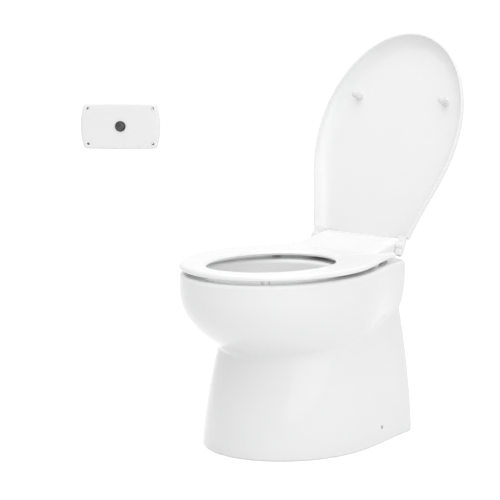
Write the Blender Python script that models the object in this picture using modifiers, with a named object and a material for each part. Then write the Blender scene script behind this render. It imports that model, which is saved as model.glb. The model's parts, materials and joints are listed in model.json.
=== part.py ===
"""Electric marine toilet with a one-piece ceramic bowl and pedestal, a macerator pump inside it,
a moulded seat and lid, and a separate control panel with one push button.

Metres, +Z up. The front faces -Y and the sitter's left is +X. The origin is on the floor, midway
across and straight below the axis that the seat and the lid turn on.
"""

import math
from collections import namedtuple

import bmesh
import bpy
from mathutils import Matrix, Vector

# General fits
CLEARANCE = 0.0003
RUNNING_GAP = 0.001
CUT_OVERRUN = 0.004
MERGE_DISTANCE = 0.00001

# Plan steps of each half outline
FRONT_STEPS = 9
SIDE_STEPS = 6
CORNER_STEPS = 3
BACK_STEPS = 3
ROUND_STEPS = 24
FINE_STEPS = 16
SADDLE_STEPS = 48
SPRING_STEPS = 10
PANEL_STEPS = 4
HEX_SIDES = 6
SMOOTH_DEGREES = 35.0

# Ceramic: three plan outlines, from the top of the bowl to the floor
BACK_REACH = 0.012
RIM_HEIGHT = 0.350
RIM_LENGTH = 0.474
RIM_HALF_WIDTH = 0.180
RIM_HEEL = 0.118
RIM_CORNER = 0.014
RIM_WIDEST_SHARE = 0.48
WAIST_LENGTH = 0.360
WAIST_HALF_WIDTH = 0.150
WAIST_HEEL = 0.104
WAIST_WIDEST_SHARE = 0.40
WAIST_FRONT_SHARE = 0.543
WAIST_BACK_SHARE = 0.7143
FOOT_LENGTH = 0.410
FOOT_HALF_WIDTH = 0.166
FOOT_HEEL = 0.138
FOOT_WIDEST_SHARE = 0.47
BULGE_TOP_DROP = 0.032
BULGE_EXPONENT = 2.1
FLARE_EXPONENT = 1.6
EDGE_ROUNDING = 0.008
RIM_DEGREES = (0.0, 30.0, 60.0, 90.0)
MOUTH_DEGREES = (90.0, 50.0, 15.0)
FOOT_ROUNDING = 0.002
SHELL_WALL = 0.011
FOOT_LAND = 0.018
FOOT_LAND_HEIGHT = 0.012
DECK_THICKNESS = 0.014
SIDE_EASE_SHARE = 0.39
HEEL_SWELL_SHARE = 0.28

# Bowl: an oval mouth that narrows to a round outlet at the back
MOUTH_HALF_WIDTH = 0.130
MOUTH_LENGTH = 0.280
DECK_LENGTH = 0.152
OUTLET_AHEAD = 0.045
OUTLET_RADIUS = 0.030
OUTLET_HEIGHT = 0.136
SPIGOT_BOTTOM_HEIGHT = 0.118
BOWL_WALL = 0.009
BOWL_DEPTH_SHARES = (0.14, 0.30, 0.48, 0.66, 0.82, 0.94, 1.0)
BOWL_SIZE_SHARES = (0.98, 0.92, 0.78, 0.56, 0.32, 0.10, 0.0)

# Openings in the ceramic
ACCESS_HALF_WIDTH = 0.075
ACCESS_SILL_HEIGHT = 0.034
ACCESS_SPRING_HEIGHT = 0.105
ACCESS_ARCH_STEPS = 13
FIXING_HOLE_RADIUS = 0.004
FIXING_HOLE_AHEAD = 0.115
FIXING_HOLE_HEIGHT = 0.032

# Hinges
HINGE_RISE = 0.027
HINGE_SPREAD = 0.0775
HINGE_BASE_AHEAD = 0.028
HINGE_HOLE_RADIUS = 0.0055
POST_HALF_WIDTH = 0.0105
POST_KNUCKLE_RADIUS = 0.0095
KNUCKLE_DEGREES = (-35.0, 145.0)
KNUCKLE_STEPS = 10
POST_BASE_RADIUS = 0.014
POST_BASE_THICKNESS = 0.0038
POST_LEG_HALF_DEPTH = 0.008
POST_STUD_RADIUS = 0.005
POST_STUD_LENGTH = 0.034
HINGE_WASHER_THICKNESS = 0.002
HINGE_PIN_RADIUS = 0.004
HINGE_PIN_BACKSET = 0.020
NUT_HEIGHT = 0.011
NUT_RADIUS = 0.010
NUT_NOSE_RADIUS = 0.008
NUT_WING_REACH = 0.019
NUT_WING_THICKNESS = 0.003
NUT_WING_DROP = 0.0037

# Seat
SEAT_LIFT = 0.008
SEAT_THICKNESS = 0.011
SEAT_HALF_WIDTH = 0.180
SEAT_FRONT_REACH = 0.460
SEAT_BACK_AHEAD = 0.023
SEAT_HEEL = 0.121
SEAT_CORNER = 0.010
SEAT_WIDEST_SHARE = 0.49
SEAT_OPENING_HALF_WIDTH = 0.113
SEAT_OPENING_LENGTH = 0.284
SEAT_OPENING_AHEAD = 0.128
SEAT_OUTER_ROUNDING = 0.008
SEAT_EDGE_DEGREES = (10.0, 40.0, 65.0, 90.0)
SEAT_FOOT_SHARE = 0.35
SEAT_INNER_SLOPE = 0.016
SEAT_SLOPE_WIDTH_SHARES = (1.0, 0.55, 0.2, 0.0)
SEAT_SLOPE_DROP_SHARES = (0.0, 0.10, 0.32, 0.65)
SEAT_SLOPE_FOOT_SHARE = 0.2
BARREL_RADIUS = 0.0135
BARREL_HALF_LENGTH = 0.101
HEEL_RAMP_LENGTH = 0.092
HEEL_ROUNDING = 0.005
HEEL_LIP = 0.0012
HEEL_RAMP_STEPS = 9
HEEL_END_DEGREES = (0.0, 45.0, 90.0)
BARREL_DEGREES = (90.0, -60.0)
POCKET_DEGREES = (150.0, 75.0)
POCKET_STEPS = 5
POCKET_SIDE_GAP = 0.002
SEAT_BUFFER_RADIUS = 0.009
SEAT_BUFFER_TIP_RADIUS = 0.00765
SEAT_BUFFER_FRONT_SPREAD = 0.100
SEAT_BUFFER_FRONT_INSET = 0.060
SEAT_BUFFER_BACK_SPREAD = 0.128
SEAT_BUFFER_BACK_AHEAD = 0.110

# Lid, drawn closed about the hinge axis and then turned open
LID_OPEN_DEGREES = 113.5
LID_HALF_WIDTH = 0.180
LID_REACH = 0.452
LID_WIDEST_AHEAD = 0.237
LID_HEEL = 0.118
LID_CORNER = 0.012
LID_TAIL = 0.020
LID_RIM_GAP = 0.002
LID_SKIN = 0.0038
LID_CROWN = 0.002
LID_SIDE_ROUND = 0.036
LID_FRONT_ROUND = 0.030
LID_HEEL_ROUND = 0.016
LID_RISE_SHARES = (0.0, 0.05, 0.16, 0.32, 0.52, 0.75, 1.0)
LID_CROWN_SHARES = (0.35, 0.7)
LID_END_AHEAD = 0.0187
ARM_OUTER_REACH = 0.122
ARM_ROUNDING = 0.010
ARM_STEPS = 4
EAR_RADIUS = 0.009
LID_BUFFER_RADIUS = 0.0065
LID_BUFFER_TIP_RADIUS = 0.00585
LID_BUFFER_SPREAD = 0.112
LID_BUFFER_AHEAD = 0.312

# Pump, under the bowl outlet
PUMP_AXIS_HEIGHT = 0.056
CHAMBER_RADIUS = 0.040
CHAMBER_LENGTH = 0.068
CHAMBER_WALL = 0.006
NECK_WALL = 0.006
NECK_BORE_RADIUS = 0.027
NECK_FLANGE_RADIUS = 0.042
FLANGE_THICKNESS = 0.006
DISCHARGE_BORE_RADIUS = 0.018
DISCHARGE_NECK_LENGTH = 0.023
DISCHARGE_FLANGE_RADIUS = 0.030
SEAL_RING_HEIGHT = 0.0135
SEAL_RING_WALL = 0.012
CLAMP_BAND = 0.0012
CLAMP_WIDTH = 0.008
CLAMP_LUG = 0.009
SEAL_PLATE_THICKNESS = 0.0055
SEAL_BOSS_RADIUS = 0.014
SEAL_BOSS_LENGTH = 0.008
SHAFT_RADIUS = 0.005
SHAFT_TIP_RADIUS = 0.0035
SHAFT_SEAL_WALL = 0.003
SHAFT_IN_MOTOR = 0.018
SHAFT_NOSE = 0.006
MOTOR_RADIUS = 0.036
MOTOR_FRONT_ROOM = 0.0336
MOTOR_CAP_LENGTH = 0.022
MOTOR_CAP_LIP = 0.001
MOTOR_RIB_HEIGHT = 0.0015
MOTOR_RIB_HALF_WIDTH = 0.0021
MOTOR_RIB_SHARES = (0.78, 0.22)
MOTOR_DOME_LENGTH = 0.0099
MOTOR_DOME_DEGREES = (30.0, 60.0)
MOTOR_GLAND_RADIUS = 0.006
MOTOR_GLAND_LENGTH = 0.010
MOTOR_GLAND_BACKSET = 0.0073
IMPELLER_RADIUS = 0.031
IMPELLER_WIDTH = 0.009
IMPELLER_HUB_RADIUS = 0.011
IMPELLER_VANE_COUNT = 6
IMPELLER_SWEEP_DEGREES = 24.0
IMPELLER_VANE_DEGREES = 16.0
BLADE_RADIUS = 0.030
BLADE_WIDTH = 0.003
BLADE_HUB_RADIUS = 0.010
BLADE_ARM_COUNT = 2
BLADE_SWEEP_DEGREES = 38.0
BLADE_ARM_DEGREES = 40.0
ARM_MIDDLE_SWEEP_SHARE = 0.3
ARM_MIDDLE_SPREAD_SHARE = 0.25
ARM_TIP_SPREAD_SHARE = 0.18
HUB_STEP_DEGREES = 45.0
BASE_HALF_WIDTH = 0.046
BASE_THICKNESS = 0.008
SADDLE_THICKNESS = 0.016
SADDLE_HEIGHT = 0.040
SADDLE_HALF_WIDTH = 0.040
SADDLE_SHARE = 0.40

# Discharge tail and its non-return valve
VALVE_FLANGE_THICKNESS = 0.002
DUCKBILL_RADIUS = 0.0165
DUCKBILL_LENGTH = 0.034
DUCKBILL_WALL = 0.002
DUCKBILL_LIP_HALF_WIDTH = 0.0165
DUCKBILL_LIP_HALF_GAP = 0.0006
DUCKBILL_STATION_SHARES = (0.35, 0.7)
DUCKBILL_OUTER_FLAT_SHARES = (0.95, 0.6)
DUCKBILL_INNER_FLAT_SHARES = (0.92, 0.52)
TAIL_BORE_RADIUS = 0.0195
TAIL_WALL = 0.003
TAIL_LENGTH = 0.086
TAIL_BARB_HEIGHT = 0.0014
TAIL_BARB_PITCH = 0.008
TAIL_BARB_CREST = 0.0056
TAIL_BARB_ROOT = 0.0064
TAIL_BARB_COUNT = 4

# Rinse valve on the inside of the back wall, and the pipe to the spray nozzle
RINSE_VALVE_DROP = 0.128
RINSE_VALVE_AHEAD = 0.035
RINSE_BODY_HALF_WIDTH = 0.018
RINSE_BODY_HALF_DEPTH = 0.014
RINSE_BODY_HALF_HEIGHT = 0.011
RINSE_TAIL_RADIUS = 0.006
RINSE_TAIL_LENGTH = 0.022
RINSE_BRACKET_HALF_WIDTH = 0.026
RINSE_BRACKET_THICKNESS = 0.004
RINSE_BRACKET_HEIGHT = 0.036
COIL_HALF_WIDTH = 0.013
COIL_HEIGHT = 0.034
COIL_BORE_RADIUS = 0.0063
COIL_CAP_THICKNESS = 0.005
COIL_ROUNDING = 0.0022
COIL_CORNER_DEGREES = 80.0
PLUNGER_SINK = 0.008
PLUNGER_LENGTH = 0.024
RINSE_SPRING_COIL_COUNT = 4
RINSE_SPRING_WIRE_RADIUS = 0.0004
NOZZLE_DROP = 0.030
NOZZLE_RADIUS = 0.0065
NOZZLE_HEAD_RADIUS = 0.009
NOZZLE_HEAD_LENGTH = 0.006
NOZZLE_BORE_RADIUS = 0.003
NOZZLE_MOUTH_RADIUS = 0.0063
NOZZLE_TAIL_LENGTH = 0.030
NOZZLE_NUT_RADIUS = 0.0115
NOZZLE_NUT_THICKNESS = 0.006
NOZZLE_SEAT_GAP = 0.0018
PIPE_RADIUS = 0.0058
PIPE_POINT_COUNT = 26
PIPE_LEAD = 0.011
PIPE_ELBOW_REACH = 0.021
PIPE_ELBOW_RISE = 0.034
PIPE_BEND_SIDE_SHARE = 0.8
PIPE_BEND_BACKSET = 0.0066
PIPE_BEND_DROP = 0.012
PIPE_RETURN_SIDE_SHARE = 0.22
PIPE_RETURN_BACK_SHARE = 0.62

# Control panel, upright, turned to the same side as the viewer of the set
PANEL_X = -0.430
PANEL_Y = -0.256
PANEL_HEIGHT = 0.603
PANEL_TURN_DEGREES = 40.0
PANEL_HALF_WIDTH = 0.0825
PANEL_HALF_HEIGHT = 0.048
PANEL_SIDE_BOW = 0.0055
PANEL_TOP_BOW = 0.0013
PANEL_CORNER = 0.007
PANEL_THICKNESS = 0.009
PANEL_SKIN = 0.003
PANEL_EDGE_ROUNDING = 0.0045
PANEL_EDGE_DEGREES = (90.0, 65.0, 40.0, 15.0)
PANEL_POCKET_HALF_WIDTH = 0.056
PANEL_POCKET_HALF_HEIGHT = 0.038
PANEL_HOLE_SPREAD = 0.067
PANEL_HOLE_RISE = 0.0366
PANEL_HOLE_RADIUS = 0.0024
PANEL_SINK_RADIUS = 0.0046
PANEL_SINK_DEPTH = 0.0028
GASKET_THICKNESS = 0.0015
GASKET_WIDTH = 0.008

# Push button, depths measured back from the panel's face
BARREL_THREAD_RADIUS = 0.010
BEZEL_RADIUS = 0.011
BEZEL_THICKNESS = 0.0016
BEZEL_SLOPE_SHARE = 0.3
BARREL_BACK_DEPTH = 0.016
BUTTON_RADIUS = 0.0088
BARREL_BORE_RADIUS = 0.0091
BUTTON_DOME = 0.0030
BUTTON_DOME_DEGREES = (18.0, 36.0, 54.0, 72.0)
BUTTON_PROUD = 0.0008
BUTTON_SKIRT_DEPTH = 0.0045
BUTTON_WALL = 0.0016
BUTTON_STEM_RADIUS = 0.0025
BUTTON_STEM_DEPTH = 0.008
BUTTON_TRAVEL = 0.002
BUTTON_NUT_RADIUS = 0.0142
BUTTON_NUT_THICKNESS = 0.004
SWITCH_LENGTH = 0.014
SWITCH_BORE_DEPTH = 0.008
SWITCH_PLUNGER_LENGTH = 0.0115
TERMINAL_HALF_WIDTH = 0.0024
TERMINAL_THICKNESS = 0.0008
TERMINAL_LENGTH = 0.008
TERMINAL_SPREAD = 0.0045
BUTTON_SPRING_RADIUS = 0.0050
BUTTON_SPRING_COIL_COUNT = 5
BUTTON_SPRING_WIRE_RADIUS = 0.0004

# Derived places
FLOOR = 0.0
WAIST_FRONT_HEIGHT = RIM_HEIGHT * WAIST_FRONT_SHARE
WAIST_BACK_HEIGHT = RIM_HEIGHT * WAIST_BACK_SHARE
BULGE_TOP_HEIGHT = RIM_HEIGHT - BULGE_TOP_DROP
RINSE_VALVE_HEIGHT = RIM_HEIGHT - RINSE_VALVE_DROP
HINGE_HEIGHT = RIM_HEIGHT + HINGE_RISE
SEAT_BOTTOM_HEIGHT = RIM_HEIGHT + SEAT_LIFT
SEAT_TOP_HEIGHT = SEAT_BOTTOM_HEIGHT + SEAT_THICKNESS
CAVITY_TOP_HEIGHT = RIM_HEIGHT - DECK_THICKNESS
MOUTH_BACK = BACK_REACH - DECK_LENGTH
OUTLET_Y = MOUTH_BACK - OUTLET_AHEAD
HINGE_BASE_Y = -HINGE_BASE_AHEAD
BACK_WALL_INNER_Y = BACK_REACH - SHELL_WALL

Outline = namedtuple("Outline", "half_width front widest back heel corner")
Oval = namedtuple("Oval", "half_width front back")


def clear_scene():
    for item in list(bpy.data.objects):
        bpy.data.objects.remove(item, do_unlink=True)


def new_collection(name):
    collection = bpy.data.collections.new(name)
    bpy.context.scene.collection.children.link(collection)
    return collection


clear_scene()
PARTS = new_collection("electric_marine_toilet")
CUTTERS = new_collection("cutters")


def finish(name, colour, roughness, metallic=0.0):
    material = bpy.data.materials.new(name)
    material.use_nodes = True
    shader = material.node_tree.nodes["Principled BSDF"]
    shader.inputs["Base Color"].default_value = (*colour, 1.0)
    shader.inputs["Roughness"].default_value = roughness
    shader.inputs["Metallic"].default_value = metallic
    return material


def add_object(name, mesh, material=None, parent=None):
    """Link a mesh as a named part or, with no material, as a cutter."""
    mesh.name = name
    item = bpy.data.objects.new(name, mesh)
    if material is None:
        CUTTERS.objects.link(item)
        item.hide_render = True
        item.display_type = "WIRE"
    else:
        PARTS.objects.link(item)
        mesh.materials.append(material)
        mesh.shade_smooth()
        mesh.set_sharp_from_angle(angle=math.radians(SMOOTH_DEGREES))
    item.parent = parent
    return item


def bmesh_to_mesh(bm):
    bmesh.ops.recalc_face_normals(bm, faces=bm.faces)
    mesh = bpy.data.meshes.new("mesh")
    bm.to_mesh(mesh)
    bm.free()
    return mesh


def combine(item, other, operation):
    modifier = item.modifiers.new(f"{operation.lower()}_{other.name}", "BOOLEAN")
    modifier.operation = operation
    modifier.object = other
    modifier.solver = "EXACT"


def cut(item, *others):
    for other in others:
        combine(item, other, "DIFFERENCE")


def join(item, *others):
    for other in others:
        combine(item, other, "UNION")


def mix(low, high, share):
    return low + (high - low) * share


def mix_all(low, high, share):
    return type(low)(*(mix(a, b, share) for a, b in zip(low, high)))


def inset(outline, side, front, back, heel=None):
    return Outline(
        outline.half_width - side,
        outline.front + front,
        outline.widest,
        outline.back - back,
        outline.heel - (side if heel is None else heel),
        outline.corner,
    )


def grow(oval, width):
    return Oval(oval.half_width + width, oval.front - width, oval.back + width)


def bezier(points, share):
    """A cubic curve's point at a share of its length."""
    a, b, c, d = (Vector(point) for point in points)
    rest = 1 - share
    return a * rest**3 + b * 3 * rest**2 * share + c * 3 * rest * share**2 + d * share**3


def half_outline(outline):
    """Half a plan outline from the front to the back: quarter ellipse, eased side, corner, back."""
    points = []
    for step in range(FRONT_STEPS):
        angle = math.pi / 2 * step / FRONT_STEPS
        depth = (outline.widest - outline.front) * math.cos(angle)
        points.append((outline.half_width * math.sin(angle), outline.widest - depth))
    corner_y = outline.back - outline.corner
    reach = corner_y - outline.widest
    swell = HEEL_SWELL_SHARE * (outline.half_width - outline.heel)
    side = (
        (outline.half_width, outline.widest),
        (outline.half_width, outline.widest + SIDE_EASE_SHARE * reach),
        (outline.heel + swell, corner_y - SIDE_EASE_SHARE * reach),
        (outline.heel, corner_y),
    )
    for step in range(SIDE_STEPS):
        points.append(tuple(bezier(side, step / SIDE_STEPS)))
    for step in range(CORNER_STEPS):
        angle = math.pi / 2 * step / CORNER_STEPS
        x = outline.heel - outline.corner * (1 - math.cos(angle))
        points.append((x, corner_y + outline.corner * math.sin(angle)))
    for step in range(BACK_STEPS + 1):
        rest = 1 - step / BACK_STEPS
        points.append(((outline.heel - outline.corner) * rest, outline.back))
    return points


def half_oval(oval):
    """Half an oval from the front to the back, with as many points as half an outline."""
    middle = (oval.front + oval.back) / 2
    reach = (oval.back - oval.front) / 2
    back_steps = SIDE_STEPS + CORNER_STEPS + BACK_STEPS
    angles = [math.pi / 2 * step / FRONT_STEPS for step in range(FRONT_STEPS)]
    angles += [math.pi / 2 * (1 + step / back_steps) for step in range(back_steps + 1)]
    return [(oval.half_width * math.sin(a), middle - reach * math.cos(a)) for a in angles]


def plan(shape):
    return half_oval(shape) if isinstance(shape, Oval) else half_outline(shape)


def ring(shape, front_height, back_height=None):
    """A closed ring of points, whose height may rise from its front to its back."""
    half = plan(shape)
    back_height = front_height if back_height is None else back_height
    whole = half + [(-x, y) for x, y in reversed(half[1:-1])]
    length = shape.back - shape.front
    return [
        Vector((x, y, mix(front_height, back_height, (y - shape.front) / length)))
        for x, y in whole
    ]


def circle(centre, radius, along, up, count=FINE_STEPS, flat_share=1.0):
    """Points of a circle round a centre, square to a direction; flat_share squashes it along up."""
    side = along.cross(up)
    turns = [math.tau * step / count for step in range(count)]
    return [
        centre + side * (radius * math.cos(turn)) + up * (radius * flat_share * math.sin(turn))
        for turn in turns
    ]


def loft(rings, looped=False):
    """Bridge rings that have equal numbers of points; the ends are capped unless it is looped."""
    bm = bmesh.new()
    rows = [[bm.verts.new(point) for point in points] for points in rings]
    pairs = list(zip(rows, rows[1:]))
    if looped:
        pairs.append((rows[-1], rows[0]))
    for low, high in pairs:
        for index in range(len(low)):
            other = (index + 1) % len(low)
            bm.faces.new((low[index], low[other], high[other], high[index]))
    if not looped:
        bm.faces.new(rows[0])
        bm.faces.new(rows[-1])
    return bmesh_to_mesh(bm)


def prism(points, start, end):
    """An outline in the YZ plane, pulled along X from start to end."""
    bm = bmesh.new()
    face = bm.faces.new([bm.verts.new((start, y, z)) for y, z in points])
    pulled = bmesh.ops.extrude_face_region(bm, geom=[face])
    moved = [item for item in pulled["geom"] if isinstance(item, bmesh.types.BMVert)]
    bmesh.ops.translate(bm, verts=moved, vec=(end - start, 0, 0))
    return bmesh_to_mesh(bm)


def box(low, high):
    bm = bmesh.new()
    low, high = Vector(low), Vector(high)
    scale = Matrix.Diagonal((*(high - low), 1.0))
    bmesh.ops.create_cube(bm, size=1.0, matrix=Matrix.Translation((low + high) / 2) @ scale)
    return bmesh_to_mesh(bm)


def cylinder(start, end, radius, end_radius=None, count=ROUND_STEPS):
    """A cylinder or a cone between two points."""
    start, end = Vector(start), Vector(end)
    axis = end - start
    turn = axis.to_track_quat("Z", "Y").to_matrix().to_4x4()
    turn = turn @ Matrix.Rotation(math.pi / count, 4, "Z")
    bm = bmesh.new()
    bmesh.ops.create_cone(
        bm,
        cap_ends=True,
        segments=count,
        radius1=radius,
        radius2=radius if end_radius is None else end_radius,
        depth=axis.length,
        matrix=Matrix.Translation((start + end) / 2) @ turn,
    )
    return bmesh_to_mesh(bm)


def turned(name, profile, material, count=ROUND_STEPS, hollow=False, parent=None):
    """A profile of (radius, height) pairs, outer side from top to bottom, turned about local Z."""
    bm = bmesh.new()
    verts = [bm.verts.new((radius, 0, height)) for radius, height in profile]
    for start, end in zip(verts, verts[1:] + (verts[:1] if hollow else [])):
        if start is not end:
            bm.edges.new((start, end))
    mesh = bpy.data.meshes.new(name)
    bm.to_mesh(mesh)
    bm.free()
    item = add_object(name, mesh, material, parent)
    screw = item.modifiers.new("turn", "SCREW")
    screw.steps = count
    screw.render_steps = count
    screw.use_merge_vertices = True
    screw.merge_threshold = MERGE_DISTANCE
    screw.use_smooth_shade = material is not None
    return item


def face_back(item, location):
    """Put a turned piece on an axis that runs from front to back, its local +Z pointing back."""
    item.location = location
    item.rotation_euler = (-math.pi / 2, 0, 0)


def wire(name, points, radius, material, resolution=1, parent=None):
    curve = bpy.data.curves.new(name, "CURVE")
    curve.dimensions = "3D"
    curve.bevel_depth = radius
    curve.bevel_resolution = resolution
    curve.use_fill_caps = True
    spline = curve.splines.new("POLY")
    spline.points.add(len(points) - 1)
    for slot, point in zip(spline.points, points):
        slot.co = (*point, 1.0)
    curve.materials.append(material)
    item = bpy.data.objects.new(name, curve)
    PARTS.objects.link(item)
    item.parent = parent
    return item


def helix(radius, start, end, turns):
    """Points of a coil about local Z."""
    steps = turns * SPRING_STEPS
    points = []
    for step in range(steps + 1):
        angle = math.tau * step / SPRING_STEPS
        height = mix(start, end, step / steps)
        points.append(Vector((radius * math.cos(angle), radius * math.sin(angle), height)))
    return points


def arc(centre, radius, first_degrees, last_degrees, steps):
    """Points in a plane along an arc, angles from the first axis towards the second."""
    points = []
    for step in range(steps + 1):
        angle = math.radians(mix(first_degrees, last_degrees, step / steps))
        points.append((centre[0] + radius * math.cos(angle), centre[1] + radius * math.sin(angle)))
    return points


def plan_outline(length, half_width, heel, corner, widest_share, back=BACK_REACH):
    front = back - length
    return Outline(half_width, front, front + length * widest_share, back, heel, corner)


RIM = plan_outline(RIM_LENGTH, RIM_HALF_WIDTH, RIM_HEEL, RIM_CORNER, RIM_WIDEST_SHARE)
WAIST = plan_outline(WAIST_LENGTH, WAIST_HALF_WIDTH, WAIST_HEEL, RIM_CORNER, WAIST_WIDEST_SHARE)
FOOT = plan_outline(FOOT_LENGTH, FOOT_HALF_WIDTH, FOOT_HEEL, RIM_CORNER, FOOT_WIDEST_SHARE)
MOUTH = Oval(MOUTH_HALF_WIDTH, MOUTH_BACK - MOUTH_LENGTH, MOUTH_BACK)
OUTLET = Oval(OUTLET_RADIUS, OUTLET_Y - OUTLET_RADIUS, OUTLET_Y + OUTLET_RADIUS)

PEDESTAL_SHARES = (0.0, 0.12, 0.28, 0.45, 0.62, 0.78, 0.90, 1.0)
BULGE_SHARES = (0.86, 0.72, 0.58, 0.44, 0.30, 0.15, 0.0)


def shell_levels():
    """The outer wall from the floor to the rim: (outline, height at the front, at the back)."""
    levels = []
    for share in PEDESTAL_SHARES:
        outline = mix_all(FOOT, WAIST, share**FLARE_EXPONENT)
        levels.append((outline, share * WAIST_FRONT_HEIGHT, share * WAIST_BACK_HEIGHT))
    for share in BULGE_SHARES:
        outline = mix_all(RIM, WAIST, share**BULGE_EXPONENT)
        front = mix(BULGE_TOP_HEIGHT, WAIST_FRONT_HEIGHT, share)
        levels.append((outline, front, mix(BULGE_TOP_HEIGHT, WAIST_BACK_HEIGHT, share)))
    return levels


def shrink(outline, width):
    return inset(outline, width, width, width)


def edge_rings(shape_at, turns):
    """Rings over a rounded top edge; shape_at(width) is the outline drawn away by a width."""
    rings = []
    for degrees in turns:
        angle = math.radians(degrees)
        width = EDGE_ROUNDING * (1 - math.cos(angle))
        rings.append(ring(shape_at(width), RIM_HEIGHT - EDGE_ROUNDING * (1 - math.sin(angle))))
    return rings


def pedestal_rings():
    """Every ring of the outer casting in one loop: out and up, over the rim, down the edge of the
    mouth, out under the deck, and down the inside of the wall to the floor."""
    shell = shell_levels()
    foot_top = (shell[0][0], FOOT_ROUNDING, FOOT_ROUNDING)
    rings = [ring(shrink(FOOT, FOOT_ROUNDING), FLOOR)]
    rings += [ring(*level) for level in [foot_top] + shell[1:]]
    rings += edge_rings(lambda width: shrink(RIM, width), RIM_DEGREES)
    rings += edge_rings(lambda width: grow(MOUTH, width), MOUTH_DEGREES)
    rings.append(ring(MOUTH, CAVITY_TOP_HEIGHT))
    rings.append(ring(shrink(RIM, SHELL_WALL), CAVITY_TOP_HEIGHT))
    rings += [ring(shrink(level[0], SHELL_WALL), *level[1:]) for level in reversed(shell[1:])]
    rings.append(ring(shrink(FOOT, SHELL_WALL), FOOT_LAND_HEIGHT))
    rings.append(ring(shrink(FOOT, FOOT_LAND), FLOOR))
    return rings


def basin_rings():
    """Every ring of the bowl in one loop: down the inside to the outlet, and back up outside."""
    depth = RIM_HEIGHT - OUTLET_HEIGHT
    bowl = list(zip(BOWL_DEPTH_SHARES, BOWL_SIZE_SHARES))
    top = CAVITY_TOP_HEIGHT - CLEARANCE
    rings = [ring(MOUTH, top)]
    for down, size in bowl:
        rings.append(ring(mix_all(OUTLET, MOUTH, size), RIM_HEIGHT - depth * down))
    rings.append(ring(OUTLET, SPIGOT_BOTTOM_HEIGHT))
    rings.append(ring(grow(OUTLET, BOWL_WALL), SPIGOT_BOTTOM_HEIGHT))
    for down, size in reversed(bowl):
        under = grow(mix_all(OUTLET, MOUTH, size), BOWL_WALL)
        rings.append(ring(under, RIM_HEIGHT - depth * down - BOWL_WALL * (1 - size)))
    rings.append(ring(grow(MOUTH, BOWL_WALL), top))
    return rings


def access_cutter():
    """An arched opening through the back wall, for reaching the pump."""
    sides = [(-ACCESS_HALF_WIDTH, ACCESS_SILL_HEIGHT), (ACCESS_HALF_WIDTH, ACCESS_SILL_HEIGHT)]
    arch = arc((0, ACCESS_SPRING_HEIGHT), ACCESS_HALF_WIDTH, 0.0, 180.0, ACCESS_ARCH_STEPS)
    near = BACK_WALL_INNER_Y - CUT_OVERRUN
    far = BACK_REACH + CUT_OVERRUN
    rings = [[Vector((x, y, z)) for x, z in sides + arch] for y in (near, far)]
    return add_object("access_cutter", loft(rings))


def ceramic_pedestal(material):
    """The outer casting: foot, waist, bulge, rim and deck."""
    item = add_object("ceramic_pedestal", loft(pedestal_rings(), looped=True), material)
    cut(item, access_cutter())
    reach = FOOT_HALF_WIDTH + CUT_OVERRUN
    hole = cylinder(
        (-reach, -FIXING_HOLE_AHEAD, FIXING_HOLE_HEIGHT),
        (reach, -FIXING_HOLE_AHEAD, FIXING_HOLE_HEIGHT),
        FIXING_HOLE_RADIUS,
        count=FINE_STEPS,
    )
    cut(item, add_object("fixing_hole_cutter", hole))
    for side, sign in (("left", 1), ("right", -1)):
        hole = cylinder(
            (sign * HINGE_SPREAD, HINGE_BASE_Y, CAVITY_TOP_HEIGHT - CUT_OVERRUN),
            (sign * HINGE_SPREAD, HINGE_BASE_Y, RIM_HEIGHT + CUT_OVERRUN),
            HINGE_HOLE_RADIUS,
            count=FINE_STEPS,
        )
        cut(item, add_object(f"hinge_hole_cutter_{side}", hole))
    return item


def ceramic_basin(material):
    """The bowl inside the pedestal, from under the deck down to the outlet."""
    item = add_object("ceramic_basin", loft(basin_rings(), looped=True), material)
    height = RIM_HEIGHT - NOZZLE_DROP
    hole = cylinder(
        (0, MOUTH_BACK - BOWL_WALL, height),
        (0, MOUTH_BACK + BOWL_WALL + CUT_OVERRUN, height),
        NOZZLE_RADIUS + CLEARANCE,
        count=FINE_STEPS,
    )
    cut(item, add_object("nozzle_hole_cutter", hole))
    return item


def hinge_post(side, sign, material):
    """A cranked pillar: base disc and threaded stud, and a leg up to a knuckle on the axis."""
    x = sign * HINGE_SPREAD
    base_low = RIM_HEIGHT + CLEARANCE + HINGE_WASHER_THICKNESS + CLEARANCE
    base_top = base_low + POST_BASE_THICKNESS
    knuckle = arc((0, HINGE_HEIGHT), POST_KNUCKLE_RADIUS, *KNUCKLE_DEGREES, KNUCKLE_STEPS)
    leg = [
        (HINGE_BASE_Y - POST_LEG_HALF_DEPTH, base_low + POST_BASE_THICKNESS / 2),
        (HINGE_BASE_Y + POST_LEG_HALF_DEPTH, base_low + POST_BASE_THICKNESS / 2),
    ]
    mesh = prism(knuckle + leg, x - POST_HALF_WIDTH, x + POST_HALF_WIDTH)
    item = add_object(f"hinge_post_{side}", mesh, material)
    base = cylinder((x, HINGE_BASE_Y, base_low), (x, HINGE_BASE_Y, base_top), POST_BASE_RADIUS)
    stud_top = base_low + POST_BASE_THICKNESS / 2
    stud = cylinder(
        (x, HINGE_BASE_Y, base_low - POST_STUD_LENGTH),
        (x, HINGE_BASE_Y, stud_top),
        POST_STUD_RADIUS,
        count=FINE_STEPS,
    )
    bore = cylinder(
        (x - POST_HALF_WIDTH - CUT_OVERRUN, 0, HINGE_HEIGHT),
        (x + POST_HALF_WIDTH + CUT_OVERRUN, 0, HINGE_HEIGHT),
        HINGE_PIN_RADIUS + CLEARANCE,
        count=FINE_STEPS,
    )
    join(item, add_object(f"post_base_form_{side}", base))
    join(item, add_object(f"post_stud_form_{side}", stud))
    cut(item, add_object(f"post_bore_cutter_{side}", bore))
    return item


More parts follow.
